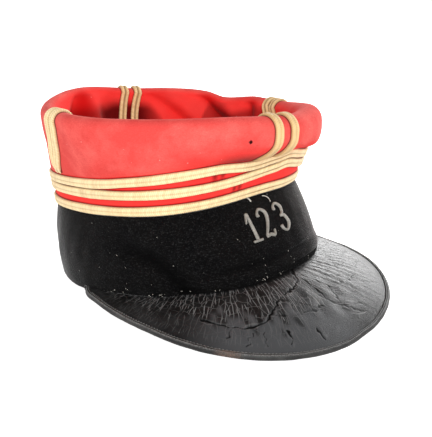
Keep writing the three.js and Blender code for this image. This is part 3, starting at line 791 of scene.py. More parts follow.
# The cloth's distance from each row, for a painted shadow beside the braid.
low_run = rows_height(angles)[:, None] * np.linspace(0, 1, ROWS_STEPS)
steps = np.linalg.norm(np.diff(crown_points[:, ROWS_STEPS - 1 :], axis=1), axis=-1)
climbed = np.concatenate([low_run, low_run[:, -1:] + np.cumsum(steps, axis=1)], 1)
from_rows = [climbed - around(table, "height", angles)[:, None] for table in ROWS.values()]
store(crown, "from_rows", on_outside(np.minimum(np.stack(from_rows, -1), FAR_OFF)))

# %% [markdown]
# ## Pairs of braid over the rim
# Four pairs climb from the upper row, cross the rim and go down into the sunken top. A strand is drawn as an
# angle for each place on the crown's run, so it always lies on the cloth, and the cloth's own normal turns its
# flat back down. The ends are tucked in, so they get thinner and narrower. Here too the cloth's distance from
# the braid is stored, for the painted shadow beside it.

# %% Braid strands
PAIRS = [
    {"name": "braid_front", "row": 4.5, "rim": 4.8, "well": 0, "spread": 13.0, "foot": 1.0, "groove": 0.4},
    {"name": "braid_right", "row": 112, "rim": 105, "well": 103, "spread": 7.2, "foot": 0.6, "groove": 0.85},
    {"name": "braid_back", "row": 200, "rim": 198, "well": 190, "spread": 11.0, "foot": 1.0, "groove": 0.85},
    {"name": "braid_left", "row": 279, "rim": 280.5, "well": 290, "spread": 7.7, "foot": 0.8, "groove": 0.85},
]
STRAND_GAP = 0.45
STRAND_TAPER = 6.0
STRAND_LAST = WELL_FROM + 26
strand_steps = np.arange(PUFF_FROM, STRAND_LAST)


def on_crown(angle, k):
    """Places and normals on the crown between its angles, for one step k of the run."""
    at = np.asarray(angle, float) % 360 * ROUND / 360
    low = np.floor(at).astype(int)
    t = (at - low)[..., None]
    near, far = low % ROUND, (low + 1) % ROUND
    point, normal = (grid[near, k] * (1 - t) + grid[far, k] * t for grid in (crown_points, crown_normals))
    return point, unit(normal)


def pair_run(pair):
    """The angle of a pair's middle, its radius and half the way between its strands, down the run."""
    climb = np.clip((strand_steps - PUFF_FROM) / (ROLL_FROM - 1 - PUFF_FROM), 0, 1)
    fall = np.clip((strand_steps - WELL_FROM + 1) / (STRAND_LAST - WELL_FROM + 1), 0, 1)
    middle = pair["row"] + (pair["rim"] - pair["row"]) * smooth(climb, 0, 1)
    middle = middle + (pair["well"] - pair["rim"]) * fall
    here = on_crown(middle, strand_steps)[0]
    apart = pair["spread"] / 2 * (pair["foot"] + (1 - pair["foot"]) * smooth(climb, 0, 0.4))
    return middle, np.hypot(here[:, 0], here[:, 1] - RIM["centre"]), apart


def make_strand(name, pair, side):
    middle, radius, apart = pair_run(pair)
    point, normal = on_crown(middle + np.degrees(side * apart / radius), strand_steps)
    path = resample(np.concatenate([point, normal], 1), BRAID_STEP)
    point, normal = path[:, :3], unit(path[:, 3:])
    across = unit(np.cross(np.gradient(point, axis=0), normal))
    strand = braid_skin(
        name + "_cord", point, across, normal, False, STRAND_GAP, pair["groove"], STRAND_TAPER
    )
    return place(strand, name, slot="gold_braid")


SIDES = {"_1": 1, "_2": -1}
strands = [make_strand(pair["name"] + tail, pair, side) for pair in PAIRS for tail, side in SIDES.items()]
print("strands:", [count_triangles(strand) for strand in strands])

# The cloth's distance from each strand, for a painted shadow beside the braid.
from_strand = np.full(crown_points.shape[:2], FAR_OFF)
for pair in PAIRS:
    middle, radius, apart = pair_run(pair)
    off = np.abs(np.radians(away(angles[:, None], middle[None, :]))) * radius - apart
    from_strand[:, strand_steps] = np.minimum(from_strand[:, strand_steps], off)
store(crown, "from_strand", on_outside(from_strand))

# %% [markdown]
# ## The leather peak
# The peak is a stiff sheet of black leather, sewn in under the band's foot and swelling a little on its
# way to the bound edge. A table gives how far it reaches and how high its edge is at each angle. The
# grid is fine, because the cracks of the next step are pressed into it.

# %% Peak shape
PEAK = {
    "angle": [-98, -92, -80, -60, -50, -40, -30, -20, -8, 0, 8, 20, 30, 40, 50, 60, 80, 92, 98],
    "reach": [
        4.4, 8, 13.4, 24.6, 33.7, 42.4, 48.2, 51.3, 52.4, 52.2,
        52.4, 51.3, 48.2, 42.4, 33.7, 24.6, 13.4, 8, 4.4,
    ],
    "edge": [
        9.4, 11, 11.8, 10.8, 10.2, 8.8, 6.5, 4.1, 1.7, 1.6,
        1.7, 4.1, 6.5, 8.8, 10.2, 10.8, 11.8, 11, 9.4,
    ],
}
LEATHER = 2.2
PEAK_SWELL = 0.07
BINDING_RADIUS = 1.9
PEAK_END = 97.0
PEAK_GRID = (840, 96)
ROOT_TUCK = 7.0


def peak_rim(angle):
    rim = oval(FOOT, angle, around(PEAK, "edge", angle))
    return rim + outward(FOOT, angle) * around(PEAK, "reach", angle)[..., None]


def peak_edge(angle, inset):
    """Places a little inside the peak's edge, with the level direction out of it."""
    along = (peak_rim(angle + 0.5) - peak_rim(angle - 0.5)) * [1, 1, 0]
    out = unit(np.cross(UP, along))
    return peak_rim(angle) - out * inset, out


def peak_sheet(angle, share):
    """The peak's upper side and its normals, without cracks: share 0 is at the band, 1 at the binding."""
    root = foot_ring(angle) - outward(FOOT, angle) * ROOT_TUCK
    root[:, 2] -= GAP
    edge = peak_edge(angle, 1.5 * BINDING_RADIUS)[0] + UP * LEATHER / 2
    along = edge - root
    normal = unit(np.cross(np.cross(outward(FOOT, angle), UP), along))
    normal = normal * np.sign(normal[:, 2:])
    size = np.linalg.norm(along, axis=1)[:, None, None]
    swell = PEAK_SWELL * size * 4 * (share * (1 - share))[None, :, None]
    return root[:, None] + along[:, None] * share[None, :, None] + normal[:, None] * swell, normal


peak_angles = np.linspace(-PEAK_END, PEAK_END, PEAK_GRID[0])
peak_shares = np.linspace(0, 1, PEAK_GRID[1])
sheet, sheet_normal = peak_sheet(peak_angles, peak_shares)
print("peak sheet:", sheet.shape)

# %% [markdown]
# ## Cracks in the lacquer
# The lacquer broke where the leather bent. A few deep cracks run across the middle of the peak and on to its
# rim, and long creases cross its far side. Each is drawn as a path of angles and shares of the peak's depth,
# and will be a narrow valley with raised lips, with its own depth and width.

# %% Crack paths
CRACKS = [
    {
        "path": [
            (30, 0.69), (27, 0.65), (24.5, 0.57), (22.5, 0.5),
            (19.5, 0.41), (16.5, 0.37), (13.5, 0.33), (9, 0.29),
        ],
        "deep": 0.6,
        "wide": 0.8,
    },
    {"path": [(44, 0.63), (40.5, 0.68), (37, 0.69), (33.5, 0.72), (30.5, 0.69)], "deep": 0.6, "wide": 0.95},
    {"path": [(9, 0.29), (5, 0.24), (3.5, 0.15), (1, 0.08)], "deep": 0.5, "wide": 0.8},
    {"path": [(22.5, 0.76), (22, 0.82), (23, 0.92)], "deep": 0.5, "wide": 0.8},
    {"path": [(14, 0.8), (13.5, 0.92)], "deep": 0.45, "wide": 0.7},
    {"path": [(31, 0.77), (33, 0.84), (32.5, 0.88), (34, 0.93)], "deep": 0.35, "wide": 0.6},
    {"path": [(28.5, 0.75), (29, 0.92)], "deep": 0.3, "wide": 0.6},
    {"path": [(36.5, 0.72), (38, 0.88)], "deep": 0.3, "wide": 0.6},
    {"path": [(24.5, 0.57), (18, 0.62), (12, 0.61), (8, 0.66)], "deep": 0.3, "wide": 0.8},
    {"path": [(19.5, 0.41), (14, 0.46), (9, 0.6), (6, 0.62)], "deep": 0.3, "wide": 0.8},
    {"path": [(3, 0.25), (2, 0.62), (-7, 0.88)], "deep": 0.25, "wide": 0.8},
    {"path": [(2, 0.16), (-4, 0.47), (-15, 0.57), (-26, 0.93)], "deep": 0.2, "wide": 0.8},
    {"path": [(-4, 0.47), (-1, 0.7), (-9, 0.8)], "deep": 0.2, "wide": 0.8},
    {"path": [(-15, 0.57), (-27, 0.6), (-38, 0.66)], "deep": 0.2, "wide": 0.8},
]
print("cracks drawn:", len(CRACKS))

# %% [markdown]
# ## Relief of the peak
# The cracks are pressed into the grid along ragged lines. The far side of the peak, on the wearer's left,
# has no deep cracks but long low ripples, which fan out from the band, and the whole sheet is a little
# slack. A flange goes up behind the band's foot, so no gap shows along the seam.

# %% Crack and ripple relief
REACH = 50.0
CRACK_JAGS = [{"high": 0.45, "seed": seed, "finest": 150, "longest": 9} for seed in (5, 6)]
CRACK_UNEVEN = {"high": 0.3, "seed": 7, "finest": 60, "longest": 14}
CRACK_LIP = {"high": 0.14, "off": 1.2}
CRACKS_END = (0.92, 0.98)
FAN = {"angle": [-98, -40, -8, 10, 98], "lean": [-0.2, -0.35, -0.45, 0.12, 0.22]}
RIPPLES = [{"apart": 4.6, "high": 0.12}, {"apart": 2.9, "high": 0.03}]
SLACK = {"high": 0.22, "seed": 31, "finest": 60, "longest": 40}


def valley(gap, wide):
    """A crack's section: a narrow valley, with lips that stand a little above the sheet."""
    lip = CRACK_LIP["high"] * np.exp(-(((gap - CRACK_LIP["off"] * wide) / (0.5 * wide)) ** 2))
    return np.exp(-((gap / (0.5 * wide)) ** 2)) - lip


def over_sheet(kind):
    return waver(peak_angles[:, None], peak_shares[None, :] * REACH, kind)


arc = lengths(sheet[:, 20:21], 0, False)
jag = [over_sheet(kind) for kind in CRACK_JAGS]
uneven = 0.85 + over_sheet(CRACK_UNEVEN)
cracks = np.zeros(sheet.shape[:2])
for crack in CRACKS:
    line = [(np.interp(a, peak_angles, arc), share * REACH) for a, share in crack["path"]]
    gap = to_path(arc[:, None] + jag[0], peak_shares * REACH + jag[1], line)[0]
    cracks += crack["deep"] * uneven * valley(gap, crack["wide"] * uneven)
cracks *= 1 - smooth(peak_shares, *CRACKS_END)

lean = np.interp(peak_angles, FAN["angle"], FAN["lean"])[:, None]
far = peak_shares[None, :] * REACH + 0 * lean
fan = arc[:, None] - lean * far
far_side = smooth(-peak_angles, -4, 8)[:, None]
ripples = sum(r["high"] * np.sin(2 * math.pi * (fan + jag[n]) / r["apart"]) for n, r in enumerate(RIPPLES))
ripples = ripples * far_side * (1 - 0.7 * smooth(peak_shares, 0.35, 0.8)) * uneven
reach = np.linalg.norm(sheet[:, -1] - sheet[:, 0], axis=1)
relief = over_sheet(SLACK) * bump(peak_shares - 0.5, 1.0) + ripples - cracks
relief = relief * smooth(reach, 6, 16)[:, None]
print("deepest crack", round(float(cracks.max()), 2), "mm")

# %% Peak
FLANGE = 4.5
UNDER_EVERY = 12

flange = sheet[:, :1] + UP * FLANGE
top = np.concatenate([flange, sheet + sheet_normal[:, None] * relief[..., None]], 1)
under = (sheet - sheet_normal[:, None] * LEATHER)[:, ::-UNDER_EVERY]
under = np.concatenate([under, flange - outward(FOOT, peak_angles)[:, None] * LEATHER], 1)
across = np.concatenate([[-FLANGE], peak_shares * REACH, np.linspace(REACH, -FLANGE, under.shape[1] + 1)])
peak = skin("peak_leather", np.concatenate([top, under], 1), ring=False, lay=(arc, across), ends=True)
place(peak, "peak", slot="black_leather")
print("peak:", count_triangles(peak), "triangles")

# %% [markdown]
# ## Wear of the peak
# The near side is scuffed dull towards its edge, and the far side keeps most of its lacquer. The seam at the
# band is painted darker, as shade. Between the deep cracks lies a net of hairlines that is too fine for the
# grid. So the mesh stores where all of this is, and the material draws it: crack for depth and for the painted
# shade of the seam, fan for the way the hairlines run, hairline for how dense they are, dull and lacquer for
# the shine.

# %% Wear stored on the peak
RAGGED = {"high": 0.1, "seed": 37, "finest": 120, "longest": 30}
# Painted shade in the seam at the band.
SEAM_SHADE = {"most": 0.3, "shares": (0.11, 0.17), "angles": (-25, 5)}
LACQUER = {"least": 0.1, "more": 0.55, "angles": (-10, 26)}
DULL = {"shares": (0.48, 0.74), "angles": (34, 54)}
HAIRY = {"near": (0.36, 0.7), "near_loss": 0.85, "far": (0.3, 0.9), "far_loss": 0.4, "end": (0.88, 0.95)}


def on_sheet(values):
    """A skin's worth of numbers from those of the sheet, with 0 on the flange and below."""
    return np.pad(values, ((0, 0), (1, under.shape[1])) + ((0, 0),) * (values.ndim - 2))


near_side = smooth(peak_angles, -4, 6)[:, None]
ragged = peak_shares[None, :] + over_sheet(RAGGED)
# Painted shade in the seam at the band, stored with the cracks.
dirt = SEAM_SHADE["most"] * (1 - smooth(peak_shares, *SEAM_SHADE["shares"]))
dirt = dirt * smooth(peak_angles, *SEAM_SHADE["angles"])[:, None]
lacquer = LACQUER["least"] + LACQUER["more"] * (1 - smooth(peak_angles, *LACQUER["angles"]))[:, None]
dull = smooth(ragged, *DULL["shares"]) * near_side * (1 - smooth(peak_angles, *DULL["angles"]))[:, None]
hairs = near_side * (1 - HAIRY["near_loss"] * smooth(ragged, *HAIRY["near"]))
hairs = hairs + far_side * (1 - HAIRY["far_loss"] * smooth(peak_shares, *HAIRY["far"]))
hairs = hairs * (1 - smooth(peak_shares, *HAIRY["end"]))
stored = {"crack": cracks + dirt, "lacquer": lacquer + 0 * far, "dull": dull, "hairline": hairs}
for name, values in stored.items():
    store(peak, name, on_sheet(values))
store(peak, "fan", on_sheet(np.stack([fan, far, 0 * far], -1)))
print("stored on the peak:", [*stored, "fan"])

# %% [markdown]
# ## The bound edge
# A strip of leather is folded round the peak's edge and sewn through. It is a tube with three grooves along its
# upper side, and the ridges between them are painted pale, partly as rubbed wear and partly as a painted
# highlight, most on the wearer's right. Its ends are tucked in under the band. The grooves are deep enough to
# catch the light, so they are in the mesh, and two stored numbers tell the material where it is grooved, for
# painted shade in the grooves, and where the ridges are painted pale.

# %% Binding
BINDING_END = 98.0
BINDING_TUCK = {"from": 88, "in": 3.4, "down": 0.4}
BINDING_STEPS = 420
BINDING_SIDES = 56
BINDING_GROOVES = {"sides": (86, 126, 162), "wide": 10, "deep": 0.28}
BINDING_WAVER = {"high": 0.03, "seed": 41, "finest": 90, "longest": 50}
# Where the ridges get a painted highlight, which is partly rubbed wear.
RIDGE_WEAR_AND_HIGHLIGHT = {"middle": 100, "wide": 160, "least": 0.3}

binding_angles = np.linspace(-BINDING_END, BINDING_END, BINDING_STEPS)
tucked = smooth(np.abs(binding_angles), BINDING_TUCK["from"], BINDING_END)[:, None]
binding_middle, binding_out = peak_edge(binding_angles, BINDING_RADIUS)
tuck = outward(FOOT, binding_angles) * BINDING_TUCK["in"] + UP * BINDING_TUCK["down"]
binding_middle = binding_middle - tuck * tucked
sides = np.linspace(0, 2 * math.pi, BINDING_SIDES, endpoint=False)
turns = np.degrees(sides)
grooves = sum(np.exp(-((away(turns, a) / BINDING_GROOVES["wide"]) ** 2)) for a in BINDING_GROOVES["sides"])
grooves = BINDING_GROOVES["deep"] * grooves
radius = (BINDING_RADIUS - grooves) * (1 + waver(binding_angles[:, None], 0 * sides, BINDING_WAVER))
tube = (
    binding_middle[:, None]
    + binding_out[:, None] * (radius * np.cos(sides))[..., None]
    + UP * (radius * np.sin(sides))[..., None]
)
tube[..., 2] = np.maximum(tube[..., 2], 0.0)
binding = skin("peak_binding_leather", tube, ring=False, ends=True)
# Pale ridges, partly rubbed wear and partly a painted highlight; the grooves are stored as cracks, for painted
# shade.
ungrooved = 1 - smooth(grooves / BINDING_GROOVES["deep"], 0.05, 0.4)
ridge_wear_and_highlight = ungrooved * bump(turns - RIDGE_WEAR_AND_HIGHLIGHT["middle"], RIDGE_WEAR_AND_HIGHLIGHT["wide"])
wear_and_highlight_along = RIDGE_WEAR_AND_HIGHLIGHT["least"] + (1 - RIDGE_WEAR_AND_HIGHLIGHT["least"]) * smooth(binding_angles, 0, 40)
store(binding, "ridge", wear_and_highlight_along[:, None] * ridge_wear_and_highlight)
store(binding, "crack", np.broadcast_to(grooves, tube.shape[:2]))
place(binding, "peak_binding", slot="black_leather")
print("binding:", count_triangles(binding), "triangles")

# %% [markdown]
# ## Stitches of the binding
# A line of small stitches lies along the binding's inner side. They could be a bump in the material, but
# each catches its own light. They are one mesh of rounded grains, because hundreds of separate objects
# would be slow and hard to handle.

# %% Binding stitches
STITCH = {"pitch": 2.1, "long": 1.5, "wide": 0.55, "high": 0.45}
STITCH_LINE = {"in": 0.35, "up": 0.25, "skip": 20}
GRAIN_SIDES, GRAIN_LEVELS = 8, (-60, -20, 20, 60)


def grain_shape():
    """A rounded grain of size 2, with its long way first: its points and its faces."""
    turn, levels = np.linspace(0, 2 * math.pi, GRAIN_SIDES, endpoint=False), np.radians(GRAIN_LEVELS)
    rings = [np.outer(np.sin(levels), 0 * turn + 1)]
    rings += [np.outer(np.cos(levels), np.cos(turn)), np.outer(np.cos(levels), np.sin(turn))]
    points = np.concatenate([np.stack(rings, -1).reshape(-1, 3), [[-1, 0, 0], [1, 0, 0]]])
    j = np.arange(GRAIN_SIDES)
    n = (j + 1) % GRAIN_SIDES
    low, high, last = len(points) - 2, len(points) - 1, GRAIN_SIDES * (len(levels) - 1)
    tips = np.concatenate([np.stack([low + 0 * j, n, j], 1), np.stack([high + 0 * j, last + j, last + n], 1)])
    return points, strip_faces(len(levels), GRAIN_SIDES, False)[0].tolist() + tips.tolist()


def grains(name, places, along, across, normal, size):
    """Rounded grains, one for each place, lying along the given directions."""
    shape, shape_faces = grain_shape()
    spots, faces = [], []
    for middle, *directions in zip(places, along, across, normal):
        faces += [[len(spots) + v for v in face] for face in shape_faces]
        half = np.array(directions) * np.array(size)[:, None] / 2
        spots += list((middle + [0, CAP_Y, 0] + shape @ half) * MM)
    mesh = bpy.data.meshes.new(name)
    mesh.from_pydata([tuple(s) for s in spots], [], faces)
    mesh.shade_smooth()
    return bpy.data.objects.new(name, mesh)


line = peak_edge(binding_angles, 2 * BINDING_RADIUS - STITCH_LINE["in"])[0]
line = line + UP * (LEATHER / 2 + STITCH_LINE["up"])
line = resample(line[STITCH_LINE["skip"] : -STITCH_LINE["skip"]], STITCH["pitch"])
line_along = unit(np.gradient(line, axis=0))
line_across = unit(np.cross(UP, line_along))
line_normal = np.cross(line_along, line_across)
stitch_size = (STITCH["long"], STITCH["wide"], STITCH["high"])
stitches = grains("binding_stitches", line, line_along, line_across, line_normal, stitch_size)
place(stitches, slot="black_leather")
print("stitches:", len(line))

# %% [markdown]
# ## Numerals in metal thread
# Three figures are worked on the front of the band in dull grey thread, laid side to side over a thin
# padding. Each stroke is a raised ribbon that is wide in the stems and narrow in the turns, with a
# thread every half millimetre across it. The figures here are plain ones, 1, 2 and 3, of the same
# size, place and colour. A stroke is a few points of across, up and width.

# %% Numerals
NUMERAL_UP = 34.0
STROKE = {"thick": 0.9, "thread": 0.55, "relief": 0.1, "above": 0.1, "below": 0.2, "end": 0.6}
STROKE_STEPS, STROKE_ACROSS = 150, np.linspace(-1, 1, 11)
NUMERALS = {
    "numeral_1": {"middle": -20.5, "strokes": [
        [(-3.6, 2.6, 1), (-0.3, 9, 2)], [(0, 9.2, 2.2), (0, -8.6, 2.5)], [(-4, -9, 1.7), (4, -9, 1.7)]]},
    "numeral_2": {"middle": -8.5, "strokes": [
        [(-3.5, 4.6, 3.2), (-3.2, 7, 1.8), (-0.2, 9.2, 1.7), (3.6, 6.4, 2.6), (2, 0.6, 2.4), (-4.2, -8.4, 1.5)],
        [(-4.4, -8.6, 1.8), (-0.6, -7.8, 2.3), (3, -8.8, 2.2), (4.8, -5.4, 1.1)]]},
    "numeral_3": {"middle": 7.5, "strokes": [
        [(-3.5, 5.2, 3), (-2.8, 7.8, 1.7), (0.4, 9.2, 1.7), (3.4, 6.4, 2.5), (2.2, 2.4, 2), (-1, 0.8, 1.3)],
        [(-3.9, -4.8, 3.2), (-3, -7.8, 1.8), (0.4, -9.2, 1.7), (4.4, -5, 2.7), (3, 0, 2.2), (-1, 0.8, 1.3)]]},
}


def on_band(angle, t, lift):
    """A place above the band's outer side, with the side's normal."""
    rise = band_wall(angle, t + 0.01) - band_wall(angle, t - 0.01)
    along = band_wall(angle + 0.5, t) - band_wall(angle - 0.5, t)
    normal = unit(np.cross(rise, along))
    return band_wall(angle, t) + normal * np.asarray(lift)[..., None], normal


def on_band_front(across, up, lift):
    """A place above the front of the band, from millimetres across and up."""
    angle = -np.degrees(np.arctan2(across, FOOT["half"]))
    height = np.linalg.norm(foot_ring(angle) - band_top_ring(angle), axis=-1)
    return on_band(angle, up / height, lift)[0]


def curve_through(points, count):
    """A smooth open curve through a few points, in even steps, with the length at each step."""
    p = np.array(points, float)
    p = np.concatenate([[2 * p[0] - p[1]], p, [2 * p[-1] - p[-2]]])
    t = np.linspace(0, 1, 40, endpoint=False)[:, None]
    legs = []
    for a, b, c, d in zip(p[:-3], p[1:-2], p[2:-1], p[3:]):
        square, cube = 2 * a - 5 * b + 4 * c - d, 3 * b - a - 3 * c + d
        legs.append(0.5 * (2 * b + (c - a) * t + square * t**2 + cube * t**3))
    path = np.concatenate(legs + [p[-2:-1]])
    run = np.concatenate([[0], np.cumsum(np.linalg.norm(np.diff(path, axis=0), axis=1))])
    at = np.linspace(0, run[-1], count)
    return np.stack([np.interp(at, run, column) for column in path.T], 1), at


def make_stroke(name, points, middle):
    """One stroke: a ribbon of thread on the band, rounded off at both ends."""
    path, at = curve_through(points, STROKE_STEPS)
    step = unit(np.gradient(path[:, :2], axis=0))
    side = np.stack([step[:, 1], -step[:, 0]], -1)
    round_off = np.sqrt(np.clip(np.minimum(at, at[-1] - at) / STROKE["end"], 0.04, 1))
    half = path[:, 2] / 2 * round_off
    thread = np.abs(np.sin(math.pi * at / STROKE["thread"]))[:, None]
    padding = STROKE["thick"] * (1 - 0.95 * STROKE_ACROSS**4) * round_off[:, None]
    lift = STROKE["above"] + padding + STROKE["relief"] * thread
    flat = path[:, None, :2] + side[:, None] * (STROKE_ACROSS * half[:, None])[..., None]
    flat = flat + [middle, NUMERAL_UP]
    edges = flat[:, [0, -1]]
    top = on_band_front(flat[..., 0], flat[..., 1], lift)
    low = on_band_front(edges[..., 0], edges[..., 1], np.full((len(at), 2), -STROKE["below"]))
    return skin(name, np.concatenate([top, low[:, ::-1]], 1), ring=False, ends=True)


numerals = []
for name, numeral in NUMERALS.items():
    for i, points in enumerate(numeral["strokes"]):
        stroke = make_stroke(f"{name}_stroke_{i + 1}", points, numeral["middle"])
        numerals.append(place(stroke, *([name] if i == 0 else []), slot="grey_thread"))
print("numeral strokes:", len(numerals))

# %% [markdown]
# ## Lint and loose threads
# Black wool holds every bit of lint, most of all low down and in the seam to the peak. Each bit is a
# tiny grain that lies on the cloth at a seeded place, and together they are one mesh. Two ends of white
# sewing thread hang out from under the lowest row of braid: they are thin tubes along a short path.

# %% Lint and threads
LINT = [
    {"count": 70, "angle": (0, 360), "share": (0.03, 0.97), "low": 1.7, "long": (0.3, 1.0), "wide": 0.22},
    {"count": 26, "angle": (8, 84), "share": (0.0, 0.05), "low": 1.0, "long": (0.6, 1.8), "wide": 0.32},
    {"count": 8, "angle": (-4, 22), "share": (0.02, 0.3), "low": 1.0, "long": (0.4, 0.9), "wide": 0.25},
]
THREADS = {
    "loose_thread_1": {"path": [(8.9, 1.0, 0.3), (8.6, 0.965, 1.2), (8.1, 0.935, 0.9)], "radius": 0.42},
    "loose_thread_2": {
        "path": [(-0.6, 0.965, 0.4), (-2.2, 0.945, 0.8), (-3.3, 0.91, 0.8), (-3.5, 0.87, 0.4)],
        "radius": 0.24,
    },
}
LINT_LIFT = 0.12
THREAD_STEPS, THREAD_SIDES = 24, 8

pick = np.random.default_rng(71)
bits = []
for kind in LINT:
    angle = pick.uniform(*kind["angle"], kind["count"])
    low, high = kind["share"]
    share = low + (high - low) * pick.uniform(0, 1, kind["count"]) ** kind["low"]
    spot, normal = on_band(angle, share, np.full(kind["count"], LINT_LIFT))
    turn = unit(np.cross(normal, pick.normal(size=(kind["count"], 3))))
    long = pick.uniform(*kind["long"], kind["count"])
    bits += [(spot, turn, np.cross(normal, turn), normal, long, np.full(kind["count"], kind["wide"]))]
spot, turn, side, normal, long, wide = (np.concatenate(column) for column in zip(*bits))
turn, side, lift = turn * long[:, None], side * wide[:, None], normal * wide[:, None]
lint = grains("band_lint", spot, turn, side, lift, (1, 1, 1))
place(lint, slot="grey_thread")


def make_thread(name, path, radius):
    """A thin tube along a path of (angle, share of the band's height, lift)."""
    route = curve_through(path, THREAD_STEPS)[0]
    middle, normal = on_band(route[:, 0], route[:, 1], route[:, 2])
    along = unit(np.gradient(middle, axis=0))
    side = unit(np.cross(along, normal))
    turn = np.linspace(0, 2 * math.pi, THREAD_SIDES, endpoint=False)[:, None]
    ring = side[:, None] * np.cos(turn) + np.cross(side, along)[:, None] * np.sin(turn)
    return place(skin(name, middle[:, None] + radius * ring, ring=False, ends=True), slot="grey_thread")


loose = [make_thread(name, **thread) for name, thread in THREADS.items()]
print("lint:", len(spot), "threads:", [t.name for t in loose])

# %% [markdown]
# ## A kit for materials
# Materials here are procedural: noise, waves and Voronoi cells in millimetres, so that the grain has
# its real size. A few small helpers add a node, set its sockets and link its inputs in one line, which
# keeps each material readable. A helper that ends in a result gives it as a pair of node and output.

# %% Node helpers
def is_output(value):
    return isinstance(value, tuple) and isinstance(value[0], bpy.types.Node)


def connect(tree, node, **sockets):
    """Sets a node's sockets, by name or number: a (node, output) pair is linked, other values are set."""
    for key, value in sockets.items():
        socket = node.inputs[int(key[1:]) if key[0] == "_" else key.replace("_", " ")]
        if is_output(value):
            tree.links.new(value[0].outputs[value[1]], socket)
        else:
            socket.default_value = value
    return node


def add(tree, kind, **sockets):
    """Adds a node. A key that is one of the node's own settings is set on it, and the rest are sockets."""
    node = tree.nodes.new(kind)
    for key in [k for k in sockets if hasattr(node, k) and not isinstance(sockets[k], tuple)]:
        setattr(node, key, sockets.pop(key))
    return connect(tree, node, **sockets)


def maths(tree, operation, *values):
    sockets = {f"_{n}": value for n, value in enumerate(values)}
    return add(tree, "ShaderNodeMath", operation=operation, **sockets), "Value"


def value_range(tree, source, low, high, to_low=0.0, to_high=1.0):
    ends = {"From_Min": low, "From_Max": high, "To_Min": to_low, "To_Max": to_high}
    return add(tree, "ShaderNodeMapRange", Value=source, **ends), "Result"


def up_to(tree, mask, most):
    """A mask from 0 to 1, turned down so that it ends at most."""
    return value_range(tree, mask, 0, 1, 0, most)


def colour_mix(tree, factor, a, b):
    """Mixes two colours: each is a plain colour or a (node, output) pair."""
    node = tree.nodes.new("ShaderNodeMix")
    node.data_type = "RGBA"
    a, b = (colour if is_output(colour) else (*colour, 1) for colour in (a, b))
    return connect(tree, node, _0=factor, _6=a, _7=b), 2


print("node helpers ready")

# %% Helpers for places and materials
def new_material(name):
    material = bpy.data.materials.new(name)
    material.use_nodes = True
    tree = material.node_tree
    return material, tree, tree.nodes["Principled BSDF"]


def millimetres(tree):
    """The place of a surface point in the cap's own frame, in millimetres."""
    metres = add(tree, "ShaderNodeTexCoord"), "Object"
    return add(tree, "ShaderNodeVectorMath", operation="SCALE", Vector=metres, Scale=1 / MM), "Vector"


def shifted(tree, by, times, spot):
    """A place that is moved by a vector or a colour."""
    return add(tree, "ShaderNodeVectorMath", operation="MULTIPLY_ADD", _0=by, _1=times, _2=spot), "Vector"


def distance(tree, spot, middle):
    return add(tree, "ShaderNodeVectorMath", operation="DISTANCE", _0=spot, _1=tuple(middle)), "Value"


def noise(tree, spot, scale, output="Fac", **sockets):
    return add(tree, "ShaderNodeTexNoise", Vector=spot, Scale=scale, **sockets), output


def read(tree, name, output="Fac"):
    """What the mesh stores on its points under a name."""
    return add(tree, "ShaderNodeAttribute", attribute_name=name), output


def lay_map(tree):
    return add(tree, "ShaderNodeUVMap", uv_map="lay"), "UV"


def raised(tree, height, strength, metres):
    return add(tree, "ShaderNodeBump", Strength=strength, Distance=metres, Height=height), "Normal"


def new_group(name, inputs, outputs):
    """An empty node group, from its inputs with their values and the names of its outputs."""
    group = bpy.data.node_groups.new(name, "ShaderNodeTree")
    for label, value in inputs.items():
        kind = "NodeSocketVector" if isinstance(value, tuple) else "NodeSocketFloat"
        group.interface.new_socket(label, in_out="INPUT", socket_type=kind).default_value = value
    for label in outputs:
        group.interface.new_socket(label, in_out="OUTPUT", socket_type="NodeSocketFloat")
    return group, group.nodes.new("NodeGroupInput"), group.nodes.new("NodeGroupOutput")


def use_group(tree, group, **sockets):
    return add(tree, "ShaderNodeGroup", node_tree=group, **sockets)


print("material helpers ready")

# %% [markdown]
# ## Nap: the fibres of felted wool
# Felted wool has no visible weave. It is a mat of short fibres that catch the light at random, over a
# slow mottling where the cloth is worn. Red and black cloth share this, so it is a node group: the sizes
# of the fibres and of the mottling go in, and a shade, a height and the mottling come out.

# %% Nap group
HAIR_STRETCH, HAIR_TURN = (0.5, 0.5, 2.4), (0.3, 0.2, 0.6)

nap, start, end = new_group(
    "wool_nap", {"Place": (0, 0, 0), "Fibre Size": 1.6, "Mottle Size": 0.05}, ["Shade", "Height", "Mottle"]
)
spot, fibre_size = (start, "Place"), (start, "Fibre Size")
fibres = noise(nap, spot, fibre_size, Detail=6.0, Roughness=0.72)
stretch = add(nap, "ShaderNodeMapping", Vector=spot, Scale=HAIR_STRETCH, Rotation=HAIR_TURN)
hairs = noise(nap, (stretch, "Vector"), fibre_size, Detail=3.0, Distortion=1.5)
mottle = noise(nap, spot, (start, "Mottle Size"), Detail=4.0, Roughness=0.6)
shade = maths(nap, "MULTIPLY", maths(nap, "ADD", fibres, hairs), 0.5)
connect(nap, end, Shade=shade, Height=shade, Mottle=mottle)
print("group:", nap.name)

# %% [markdown]
# ## Specks: lint and dust
# Old cloth and leather hold pale lint. Voronoi cells make the specks: a cell is a speck where its
# centre is near, and a random value for each cell keeps only a few of them. The place is bent a little
# first, so that the specks aren't round.

# %% Speck group
SPECK_BEND = (1.4, 1.4, 1.4)

